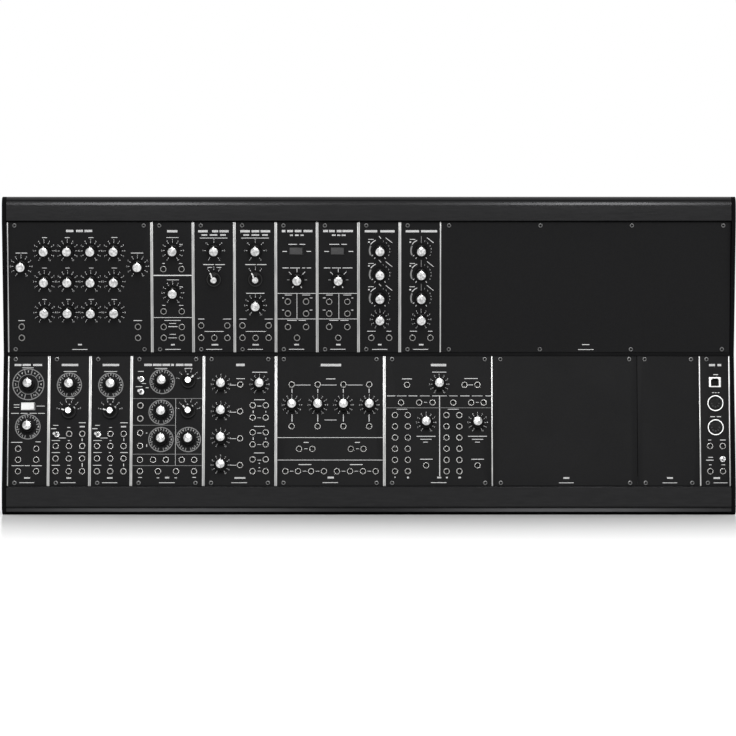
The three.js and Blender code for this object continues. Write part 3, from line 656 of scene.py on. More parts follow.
# Module panels. Each is a 2 mm aluminium plate, lacquered black but for a bare strip down
# either long edge, and drilled for its sockets, shafts and switches. Their places are
# shares of its width in pitches and, counted from the top, of its height.
last_row = 0.888
filter_sockets = grid([0.188, 0.822], [0.793, last_row]) + [(0.505, last_row)]
oscillator_sockets = grid([0.18], [0.694, 0.79, last_row])
oscillator_sockets += grid([0.5, 0.82], [0.6, 0.694, 0.79, last_row])
amplifier = {
    "units": 8,
    "knobs": {"knob": (0.512, 0.442)},
    "rockers": {"rocker": (0.5, 0.22)},
    "sockets": grid([0.29, 0.73], [0.609, 0.701, 0.804]) + [(0.51, last_row)],
}
envelope = {
    "units": 8,
    "knobs": {"attack_knob": (0.518, 0.217)},
    "fixed": grid([0.518], [0.4, 0.583, 0.747]),
    "sockets": grid([0.31, 0.742], [last_row]),
}
modules = {
    "filter_bank": {
        "units": 28,
        "fixed": grid([0.257, 0.418, 0.578, 0.739], [0.219, 0.456, 0.693]),
        "knobs": {"low_band_knob": (0.097, 0.338), "high_band_knob": (0.902, 0.338)},
        "sockets": grid([0.097, 0.902], [0.803, last_row]),
    },
    "dual_filter": {
        "units": 8,
        "knobs": {"upper_knob": (0.505, 0.217), "lower_knob": (0.505, 0.542)},
        "sockets": grid([0.28, 0.72], [0.358, 0.684, 0.804, last_row]),
    },
    "high_pass": {
        "units": 8,
        "knobs": {"knob": (0.505, 0.217)},
        "selectors": {"selector": (0.5, 0.437, -30)},
        "sockets": filter_sockets,
    },
    "low_pass": {
        "units": 8,
        "knobs": {"frequency_knob": (0.505, 0.217), "resonance_knob": (0.505, 0.639)},
        "selectors": {"selector": (0.505, 0.437, -30)},
        "sockets": filter_sockets,
    },
    "amplifier_1": amplifier,
    "amplifier_2": amplifier,
    "envelope_1": envelope,
    "envelope_2": envelope,
    "oscillator_driver": {
        "units": 8,
        "knobs": {"frequency_knob": (0.494, 0.217), "width_knob": (0.493, 0.543)},
        "rockers": {"rocker": (0.5, 0.387)},
        "sockets": grid([0.273, 0.711], [0.715, 0.799, last_row]),
    },
    "oscillator_1": {
        "units": 8,
        "knobs": {"knob": (0.495, 0.219)},
        "selectors": {"selector": (0.487, 0.426, -75)},
        "toggles": {"toggle": (0.203, 0.605)},
        "sockets": oscillator_sockets,
    },
    "oscillator_2": {
        "units": 8,
        "knobs": {"knob": (0.498, 0.219)},
        "selectors": {"selector": (0.49, 0.426, -75)},
        "toggles": {"toggle": (0.203, 0.605)},
        "sockets": oscillator_sockets,
    },
    "voltage_oscillator": {
        "units": 14,
        "knobs": {"frequency_knob": (0.42, 0.194)},
        "fixed": [(0.414, 0.43), (0.414, 0.64), (0.79, 0.64)],
        "selectors": {"range_selector": (0.786, 0.192, 45), "wave_selector": (0.786, 0.424, -45)},
        "toggles": {"upper_toggle": (0.137, 0.179), "lower_toggle": (0.137, 0.276)},
        "sockets": grid([0.126], [0.382, 0.482, 0.593, 0.693, 0.8, last_row])
        + grid([0.306, 0.483, 0.702, 0.874], [0.8])
        + grid([0.375, 0.623, 0.873], [last_row]),
    },
    "mixer": {
        "units": 14,
        "knobs": {"first_level_knob": (0.238, 0.217)},
        "fixed": grid([0.239], [0.425, 0.632, 0.839]) + [(0.771, 0.217)],
        "sockets": grid([0.506], [0.22, 0.427, 0.635, 0.841])
        + grid([0.68, 0.861], [0.381, 0.475, 0.589, 0.682, 0.797, last_row]),
    },
    "attenuator": {
        "units": 21,
        "knobs": {"first_level_knob": (0.147, 0.376)},
        "fixed": grid([0.386, 0.623, 0.861], [0.376]),
        "sockets": grid([0.146, 0.385, 0.623, 0.861], [0.22, 0.542])
        + grid([0.215, 0.337, 0.691, 0.808], [0.716])
        + grid([0.089, 0.205, 0.325, 0.444, 0.563, 0.684, 0.803, 0.92], [last_row]),
    },
    "interface": {
        "units": 21,
        "knobs": {"level_knob": (0.507, 0.216)},
        "fixed": grid([0.386, 0.86], [0.511]),
        "sockets": grid([0.21, 0.741, 0.86], [0.222])
        + grid([0.155, 0.321, 0.445, 0.636, 0.801, 0.916], [0.359])
        + grid([0.098, 0.216, 0.573, 0.691], [0.456, 0.543, 0.629, 0.715, 0.801, last_row])
        + grid([0.385, 0.858], [0.843]),
    },
    "computer_interface": {
        "units": 6,
        "usb": [(0.516, 0.201)],
        "din": grid([0.524], [0.363, 0.549]),
        "toggles": {"toggle": (0.737, 0.795)},
        "sockets": grid([0.333, 0.741], [0.694, last_row]),
    },
}
blanks = {"wide": 56, "middle": 28, "narrow": 12}
all_panels = [*modules, *blanks]
upper_row = [*list(modules)[:8], "wide"]
pitch = 5.08
half_gap = 0.2
panel_height = 128.5
panel_middle = panel_height / 2
panel_sheet = 2
wide_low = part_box("wide_blank_panel")[0]
middle_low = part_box("middle_blank_panel")[0]
sine = math.sin(row_tilt)
upper_origin = (wide_low.y + panel_height * sine / 1000, wide_low.z)
lower_origin = (middle_low.y, middle_low.z + panel_sheet * sine / 1000)


def panel_node(name):
    return f"{name}_blank_panel" if name in blanks else f"{name}_module"


def panel_frame(name):
    (y, z), tilt = (upper_origin, row_tilt) if name in upper_row else (lower_origin, -row_tilt)
    at = Matrix.Translation((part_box(panel_node(name))[0].x, y, z))
    return at @ Matrix.Rotation(tilt, 4, "X") @ MM


def panel_width(name):
    units = blanks[name] if name in blanks else modules[name]["units"]
    return units * pitch - 2 * half_gap


def add_to_panel(name, part, shape, material):
    add_piece(f"{name}_{part}", shape, material, place=panel_frame(name))


def on_panel(name, share):
    return share[0] * modules[name]["units"] * pitch - half_gap, (1 - share[1]) * panel_height


def places(name, kind):
    shares = modules.get(name, {}).get(kind, [])
    if isinstance(shares, dict):
        shares = shares.values()
    return [on_panel(name, share) for share in shares]


panel_lacquer = finish(
    "panel_lacquer",
    (0.0070, 0.0070, 0.0074),
    (0.0095, 0.0095, 0.0100),
    (0.42, 0.52),
    (1100, 0.00002),
    specular=0.085,
)
bare_edge = finish(
    "bare_aluminium",
    0.43,
    (0.57, 0.57, 0.56),
    (0.32, 0.42),
    (500, 0.00001),
    stretch=(1, 1, 0.03),
    metal=1.0,
)
strip, strip_lap = 1.1, 0.1
round_holes = {"sockets": (2.9, 16), "knobs": (3.6, 16), "selectors": (3.6, 16)}
round_holes |= {"fixed": (3.6, 16), "toggles": (2.9, 16), "din": (7.5, 32)}
square_holes = {"rockers": (13.4, 7.2), "usb": (11.0, 9.4)}
screw_inset = 7.45
screw_rows = (3, panel_height - 3)


def screw_columns(name):
    last = panel_width(name) - screw_inset
    if name == "wide":
        spacing = (panel_width(name) - 2 * screw_inset) / 3
        return [screw_inset + spacing * i for i in range(4)]
    return [screw_inset, last] if name in blanks or modules[name]["units"] > 8 else [screw_inset]


for name in all_panels:
    inset = strip if name in modules else 0
    width = panel_width(name)
    far = width - inset
    outline = [(inset, 0), (far, 0), (far, panel_height), (inset, panel_height)]
    holes = []
    for kind, (radius, points) in round_holes.items():
        holes += [ring_of_points(x, z, radius, points) for x, z in places(name, kind)]
    for kind, sizes in square_holes.items():
        holes += [rounded_box_outline(x, z, *sizes, 0.4) for x, z in places(name, kind)]
    for x in screw_columns(name):
        holes += [ring_of_points(x, z, 1.7, 12) for z in screw_rows]
    plate = pierced_plate(outline, holes, panel_sheet, softened=0.2)
    at = panel_frame(name)
    add_piece(f"{name}_panel", plate, panel_lacquer, "case", [panel_node(name)], at)
    if name in modules:
        edges = bmesh.new()
        bar = (panel_sheet / 2, panel_middle, strip + strip_lap, panel_sheet, panel_height, 0.06)
        for x in (strip / 2 - strip_lap / 2, width - strip / 2 + strip_lap / 2):
            join_shape(edges, soft_block(x, *bar))
        add_to_panel(name, "bare_edges", edges, bare_edge)


# Panel screws. Small steel screws with a ring round a dark socket hold each panel's ends
# to the rails: four on the wide panels, and one at each end of the narrow ones. Each
# socket's darkness is a dark disc set into its recess, which is painted shade.
lower_row = [name for name in all_panels if name not in upper_row]
screw_ring = [(0, -6), (1.4, -6), (1.4, 0.02), (2.2, 0.02), (2.25, 0.4), (1.95, 0.9)]
screw_ring += [(1.45, 1.0), (1.2, 0.85), (1.2, -0.6), (0, -0.6)]
fine_grain = (900, 0.00001)
dull_steel = finish("dull_screw_steel", 0.10, 0.26, (0.3, 0.45), fine_grain, metal=1.0)
dark_hole = finish("dark_hole", 0.002, 0.004, (0.7, 0.8), fine_grain, specular=0.1)
for row, names in (("upper", upper_row), ("lower", lower_row)):
    screws, sockets = bmesh.new(), bmesh.new()
    for name in names:
        for x, z in grid(screw_columns(name), screw_rows):
            at = panel_frame(name) @ Matrix.Translation((x, 0, z))
            join_shape(screws, turned_piece(screw_ring, 16), at)
            # Painted shade: a dark disc inside the socket's recess.
            socket = turned_piece([(0, 0.15), (1.16, 0.15), (1.16, 0.3), (0, 0.3)], 6)
            join_shape(sockets, socket, at)
    add_piece(f"{row}_row_screws", screws, dull_steel)
    add_piece(f"{row}_row_screw_socket_shade", sockets, dark_hole)


# Sockets. Each is a 3.5 mm jack with a nickel nut on a threaded bush, a black well in its
# middle, and a black moulded body that is soldered to the board behind the panel, as the
# controls' own bodies are.
nut_profile = [(2.25, -2.4), (2.25, 1.4), (2.4, 1.6), (2.65, 1.6), (2.7, 1.2), (2.85, 1.2)]
nut_profile += [(2.9, 1.5), (3.05, 1.45), (3.25, 0.9), (3.25, 0.02), (2.7, 0.02), (2.7, -2.4)]
nut_profile += [(2.25, -2.4)]
well_profile = [(0, -9.2), (1.65, -9.2), (1.65, 1.0), (1.8, 1.15), (2.24, 1.1), (2.24, -2.3)]
well_profile += [(2.4, -9.6), (0, -9.6)]
body_sizes = {
    "sockets": (6.9, 9, 8.4, 9, 0.5),
    "knobs": (6.9, 9.6, 8.4, 9.6, 0.5),
    "fixed": (6.9, 9.6, 8.4, 9.6, 0.5),
    "selectors": (6.9, 14, 8.4, 14, 0.5),
    "toggles": (6.9, 8, 8.4, 12, 0.5),
    "rockers": (9.4, 18, 3.4, 11.2, 0.5),
    "usb": (10.2, 12.3, 2, 11, 0.3),
    "din": (9.2, 16, 3.6, 16, 0.5),
}
for name in modules:
    nuts, wells, bodies = bmesh.new(), bmesh.new(), bmesh.new()
    for x, z in places(name, "sockets"):
        at = Matrix.Translation((x, 0, z))
        join_shape(nuts, turned_piece(nut_profile, 16), at)
        join_shape(wells, turned_piece(well_profile, 12), at)
    for kind, (y, *sizes) in body_sizes.items():
        for x, z in places(name, kind):
            join_shape(bodies, soft_block(x, y, z, *sizes))
    add_to_panel(name, "nuts", nuts, nickel)
    add_to_panel(name, "wells", wells, dark_hole)
    add_to_panel(name, "bodies", bodies, black_nylon)


# Circuit boards. One stands behind each working panel, soldered to its sockets and
# controls, with the header for the ribbon lead from the bus board on its back.
for name in modules:
    width = panel_width(name)
    card_sizes = (width - 3, board_thickness, panel_height - 22.5, 0.2)
    card = soft_block(width / 2, 12.0, panel_middle, *card_sizes)
    add_to_panel(name, "board", card, board_green)
    outer, inner = (12, 21, 0.4), (9.4, 18.4, 0.3)
    shroud = box_frame(width / 2, panel_middle, outer, inner, 8, steps=1)
    bmesh.ops.translate(shroud, vec=(0, 12.8, 0), verts=shroud.verts[:])
    join_shape(shroud, soft_block(width / 2, 13.6, panel_middle, 9.6, 1.6, 18.6))
    add_to_panel(name, "ribbon_header", shroud, black_nylon)


# Knobs. Each is a black moulded knob with a broad skirt, a fluted cap and a spun
# aluminium disc let into its top, with a short white line at the cap's upper edge.
knob_plastic = finish("knob_plastic", 0.0020, 0.0045, (0.22, 0.32), (1500, 0.00001), specular=0.1)
white_line = finish(
    "white_filling", (0.80, 0.80, 0.79), (0.88, 0.88, 0.87), (0.45, 0.55), smooth_grain
)
spun_aluminium = finish("spun_aluminium", 0.42, 0.88, (0.2, 0.3), (480, 0.00001), metal=1.0)
knob_cap = [(6.6, 0.8), (6.8, 1.0), (6.8, 4.9), (6.5, 5.3), (5.2, 5.5), (5.0, 5.7)]
knob_cap += [(4.95, 11.7), (4.85, 12.2), (4.7, 12.35), (4.62, 12.3), (4.6, 12.0), (0, 12.0)]
knob_steps = 36
flute_every = 3
shafted_foot = [(0, -8), (3, -8), (3, 0.8)]
fixed_foot = [(0, -1), (3, -1), (3, 0.8)]


def controls(name, kind):
    for control, share in modules[name].get(kind, {}).items():
        yield f"{name}_{control}", *on_panel(name, share), *share[2:]


def knob_body(foot=shafted_foot):
    body = turned_piece(foot + knob_cap, knob_steps)
    flutes = []
    for vert in body.verts:
        reach = math.hypot(vert.co.x, vert.co.z)
        turn = round(math.atan2(vert.co.x, vert.co.z) / (2 * math.pi) * knob_steps)
        if 4.8 < reach < 5.05 and 5.6 < -vert.co.y < 12.3 and turn % flute_every == 0:
            flutes.append(vert)
    bmesh.ops.scale(body, vec=(0.93, 1, 0.93), verts=flutes)
    return body


def knob_disc():
    return turned_piece([(0, 11.9), (4.2, 11.9), (4.2, 12.38), (4, 12.5), (0, 12.44)], knob_steps)


def pointer_line(near, far, base, top, width):
    middle = (near + far) / 2
    return soft_block(0, -(base + top) / 2, middle, width, top - base, far - near, 0.12)


def knob_line():
    return pointer_line(4.35, 5.2, 9.2, 12.46, 0.9)


for name in modules:
    for node, x, z in controls(name, "knobs"):
        at = panel_frame(name) @ Matrix.Translation((x, 0, z))
        add_piece(f"{node}_body", knob_body(), knob_plastic, node, [node], at)
        add_piece(f"{node}_disc", knob_disc(), spun_aluminium, node, place=at)
        add_piece(f"{node}_line", knob_line(), white_line, node, place=at)
    if "fixed" in modules[name]:
        bodies, discs, lines = bmesh.new(), bmesh.new(), bmesh.new()
        for x, z in places(name, "fixed"):
            at = Matrix.Translation((x, 0, z))
            join_shape(bodies, knob_body(fixed_foot), at)
            join_shape(discs, knob_disc(), at)
            join_shape(lines, knob_line(), at)
        add_to_panel(name, "more_knobs", bodies, knob_plastic)
        add_to_panel(name, "more_discs", discs, spun_aluminium)
        add_to_panel(name, "more_lines", lines, white_line)


# Rotary selectors. A broad, slightly coned skirt carries a slim cap with a bright metal
# top, and a long white line runs across the skirt to the marks round it. On the filters
# the line also climbs the cap's side.
polished_rim = finish("polished_rim", 0.028, 0.034, (0.06, 0.1), (900, 0.000003), metal=1.0)
selector_cap = [(7.2, 0.8), (7.4, 1.0), (7.4, 2.9), (7.2, 3.15), (3.7, 3.8), (3.5, 4.0)]
selector_cap += [(3.45, 10.3), (3.4, 10.7), (3.3, 10.8), (3.25, 10.6), (0, 10.6)]
three_way = ("high_pass", "low_pass")
for name in modules:
    for node, x, z, turn in controls(name, "selectors"):
        turned = Matrix.Rotation(math.radians(turn), 4, "Y")
        at = panel_frame(name) @ Matrix.Translation((x, 0, z)) @ turned
        body = turned_piece(shafted_foot + selector_cap, 36)
        add_piece(f"{node}_body", body, knob_plastic, node, [node], at)
        top = turned_piece([(0, 10.4), (3, 10.4), (3, 10.85), (2.85, 11), (0, 10.95)], 36)
        add_piece(f"{node}_top", top, spun_aluminium, node, place=at)
        rim = turned_piece([(6, 3.3), (7.1, 3.08), (7.1, 3.29), (6, 3.5), (6, 3.3)], 48)
        add_piece(f"{node}_rim", rim, polished_rim, node, place=at)
        line = pointer_line(4.3, 7.3, 2.6, 4.1, 1.3)
        if name in three_way:
            join_shape(line, pointer_line(3.2, 4.6, 3.5, 10.95, 1.3))
        add_piece(f"{node}_line", line, white_line, node, place=at)


# Toggle switches. A hexagonal nut and a round bush carry a bright plated bat lever, which
# swings on a ball inside the bush.
bright_plate = finish("plated_lever", 0.90, 1.0, (0.2, 0.3), (900, 0.000003), metal=1.0)
lever_profile = [(0, -2.1), (1.05, -1.82), (1.82, -1.05), (2.1, 0), (1.82, 1.05), (1.3, 1.7)]
lever_profile += [(1.1, 2.3), (1.15, 4), (1.6, 7.4), (1.7, 8.5), (1.6, 9.3), (1.3, 9.85)]
lever_profile += [(0, 10)]
collar_nut = [(2.6, 0.02), (3.2, 0.02), (3.2, 1.1), (2.95, 1.4), (2.6, 1.4), (2.6, 0.02)]
collar_bush = [(2.2, -4), (2.7, -4), (2.7, 2.6), (2.5, 2.8), (2, 2.8), (2, 2.2)]
collar_bush += [(2.2, 1.8), (2.2, -4)]
lever_lean = Matrix.Rotation(math.radians(-12), 4, "Z")
for name in modules:
    if "toggles" not in modules[name]:
        continue
    collars = bmesh.new()
    for node, x, z in controls(name, "toggles"):
        join_shape(collars, turned_piece(collar_nut, 6), Matrix.Translation((x, 0, z)))
        join_shape(collars, turned_piece(collar_bush, 24), Matrix.Translation((x, 0, z)))
        lever = turned_piece(lever_profile, 20)
        at = panel_frame(name) @ (Matrix.Translation((x, -1, z)) @ lever_lean)
        add_piece(f"{node}_lever", lever, bright_plate, node, [node], at)
    add_to_panel(name, "collars", collars, bright_plate)


# Rocker switches on the panels. A thin bezel is clipped into a square hole, and the
# paddle rocks across it.
white_bezel = finish(
    "white_bezel_plastic", (0.72, 0.72, 0.71), (0.80, 0.80, 0.79), (0.4, 0.5), moulded_grain
)
grey_plastic = finish(
    "grey_rocker_plastic", (0.030, 0.030, 0.031), (0.042, 0.042, 0.043), (0.4, 0.5), moulded_grain
)
for name in modules:
    white = name == "oscillator_driver"
    paddle_plastic = white_plastic if white else grey_plastic
    for node, x, z in controls(name, "rockers"):
        paddle = rocker_paddle(12.8, 6.6)
        at = panel_frame(name) @ Matrix.Translation((x, 1.5, z)) @ rocker_rest
        add_piece(f"{node}_paddle", paddle, paddle_plastic, node, [node], at)
        bezel = box_frame(x, z, (13.7, 7.5, 0.5), (13.3, 7.0, 0.4), 8)
        bmesh.ops.translate(bezel, vec=(0, -0.7, 0), verts=bezel.verts[:])
        join_shape(bezel, soft_block(x, 7.6, z, 13.5, 0.8, 7.2))
        material = white_bezel if white else black_nylon
        add_piece(f"{node}_bezel", bezel, material, place=panel_frame(name))


# Computer sockets. The narrow panel has a square USB socket in a bright frame over two
# round five-pin sockets, each a bright shell round a black insert.
bright_shell = finish(
    "bright_shell", (0.80, 0.80, 0.79), (0.95, 0.95, 0.94), (0.3, 0.4), smooth_grain, metal=0.8
)
socket_insert = finish("socket_insert", 0.008, 0.018, (0.5, 0.6), (500, 0.00001), specular=0.1)
name = "computer_interface"
shells, inserts, contacts = bmesh.new(), bmesh.new(), bmesh.new()
socket_mouth = [(-4, -3.9), (4, -3.9), (4, 2.2), (2.5, 3.9), (-2.5, 3.9), (-4, 2.2)]
din_shell = [(6.85, -6), (6.85, 0.8), (7, 1), (7.75, 1), (7.9, 0.8), (7.9, 0.02)]
din_shell += [(7.35, 0.02), (7.35, -6), (6.85, -6)]
contact_circle = 3.6
for x, z in places(name, "usb"):
    mouth = [(x + across, z + up) for across, up in socket_mouth]
    frame_outline = rounded_box_outline(x, z, 11.7, 9.9, 0.5)
    shell_frame = pierced_plate(frame_outline, [mouth], 9, softened=0.2)
    join_shape(shells, shell_frame, Matrix.Translation((0, -0.8, 0)))
    join_shape(inserts, soft_block(x, 6.6, z, 5.2, 4.4, 3, 0.3))
    join_shape(inserts, soft_block(x, 7.8, z, 8.3, 0.8, 8.2))
for x, z in places(name, "din"):
    at = Matrix.Translation((x, 0, z))
    join_shape(shells, turned_piece(din_shell, 32), at)
    disc_holes = []
    for turn in (-90, -45, 0, 45, 90):
        across = contact_circle * math.sin(math.radians(turn))
        up = -contact_circle * math.cos(math.radians(turn))
        disc_holes.append(ring_of_points(across, up, 0.85, 10))
        contact = turned_piece([(0, -5.5), (0.7, -5.5), (0.7, -0.6), (0, -0.6)], 10)
        join_shape(contacts, contact, Matrix.Translation((x + across, 0, z + up)))
    disc = pierced_plate(ring_of_points(0, 0, 5.95, 32), disc_holes, 5, softened=0.2)
    join_shape(inserts, disc, Matrix.Translation((x, -0.2, z)))
    back = turned_piece([(0, -6.6), (6.6, -6.6), (6.6, -4.6), (0, -4.6)], 32)
    join_shape(inserts, back, at)
at = panel_frame(name)
add_piece("computer_socket_shells", shells, bright_shell, place=at)
add_piece("computer_socket_inserts", inserts, socket_insert, place=at)
add_piece("computer_socket_contacts", contacts, screw_steel, place=at)


# Printing. Each panel is screened in white ink with scales, numbers and rules. Titles are
# rows of short strokes, and labels are plain dashes. Levels are counted from the top.
white_ink = finish("white_ink", 0.66, 0.74, (0.5, 0.6), (900, 0.000004), specular=0.3)
grey_ink = finish("grey_ink", 0.20, 0.26, (0.5, 0.6), (900, 0.000004), specular=0.3)
ink_rise = 0.06
glyph_thickness = 0.02
numeral_shapes = {}


def add_bar(shape, x, v, width, height, turn=0.0):
    at = Matrix.Translation((x, 0, panel_height - v)) @ Matrix.Rotation(math.radians(turn), 4, "Y")
    join_shape(shape, soft_block(0, 0, 0, width, 2 * ink_rise, height), at)


def add_rule(shape, x0, v0, x1, v1, width):
    length = math.hypot(x1 - x0, v1 - v0)
    turn = math.degrees(math.atan2(v1 - v0, x1 - x0))
    add_bar(shape, (x0 + x1) / 2, (v0 + v1) / 2, length, width, turn)


def add_numeral(shape, text, x, v, size):
    if text not in numeral_shapes:
        curve = bpy.data.curves.new("numeral", "FONT")
        curve.body = text
        curve.align_x = "CENTER"
        curve.align_y = "CENTER"
        curve.resolution_u = 1
        curve.extrude = glyph_thickness / 2
        holder = bpy.data.objects.new("numeral", curve)
        numeral_shapes[text] = bpy.data.meshes.new_from_object(holder)
        bpy.data.objects.remove(holder)
    glyph = bmesh.new()
    glyph.from_mesh(numeral_shapes[text])
    bmesh.ops.remove_doubles(glyph, verts=glyph.verts[:], dist=0.0001)
    rise = 2 * ink_rise / glyph_thickness
    bmesh.ops.scale(glyph, vec=(size, size, rise), verts=glyph.verts[:])
    upright = Matrix.Rotation(math.radians(90), 4, "X")
    join_shape(shape, glyph, Matrix.Translation((x, 0, panel_height - v)) @ upright)


def on_dial(x, v, reach, turn):
    return x + reach * math.sin(math.radians(turn)), v - reach * math.cos(math.radians(turn))


def add_numbers(shape, x, v, reach, turns, size, first=0):
    for number, turn in enumerate(turns, first):
        add_numeral(shape, str(number), *on_dial(x, v, reach, turn), size)


def add_ticks(shape, x, v, turns, near, far, width):
    for turn in turns:
        add_bar(shape, *on_dial(x, v, (near + far) / 2, turn), width, far - near, turn)


def add_ring(shape, x, v, radius, width, start=0.0, sweep=360.0, steps=48):
    ring = bmesh.new()
    inner, outer = radius - width / 2, radius + width / 2
    section = [(inner, 0), (outer, 0), (outer, ink_rise), (inner, ink_rise)]
    corners = [ring.verts.new((0, -rise, reach)) for reach, rise in section]
    edges = [ring.edges.new(pair) for pair in zip(corners, corners[1:] + corners[:1])]
    whole = sweep >= 360
    bmesh.ops.spin(
        ring,
        geom=corners + edges,
        axis=(0, 1, 0),
        angle=math.radians(sweep),
        steps=steps,
        use_merge=whole,
    )
    if not whole:
        bmesh.ops.holes_fill(ring, edges=ring.edges[:], sides=4)
    bmesh.ops.recalc_face_normals(ring, faces=ring.faces[:])
    begin = Matrix.Rotation(math.radians(start), 4, "Y")
    join_shape(shape, ring, Matrix.Translation((x, 0, panel_height - v)) @ begin)


eleven_turns = range(-150, 151, 30)


def add_number_dial(shape, x, v, radius=10.7, size=2.2, turns=eleven_turns):
    add_ticks(shape, x, v, turns, radius - 2.9, radius - 1.3, 0.4)
    add_numbers(shape, x, v, radius, turns, size)


def add_cell_dial(print_shape, ring_shape, x, v, outer, inner):
    add_ring(ring_shape, x, v, outer, 0.9)
    if outer > 14:
        add_ring(ring_shape, x, v, inner, 0.5)
    add_ticks(ring_shape, x, v, range(-165, 166, 30), inner, outer, 0.9)
    add_numbers(print_shape, x, v, (inner + outer) / 2, eleven_turns, 3.0)


def add_words(shape, rows):
    for v, height, *strokes in rows:
        for x, width in strokes:
            if height < 1.35:
                add_bar(shape, x, v, width, 0.5 * height + 0.1)
                continue
            count = max(1, round(width / 0.95))
            for i in range(count):
                add_bar(shape, x - width / 2 + (i + 0.5) * width / count, v, 0.72, height)


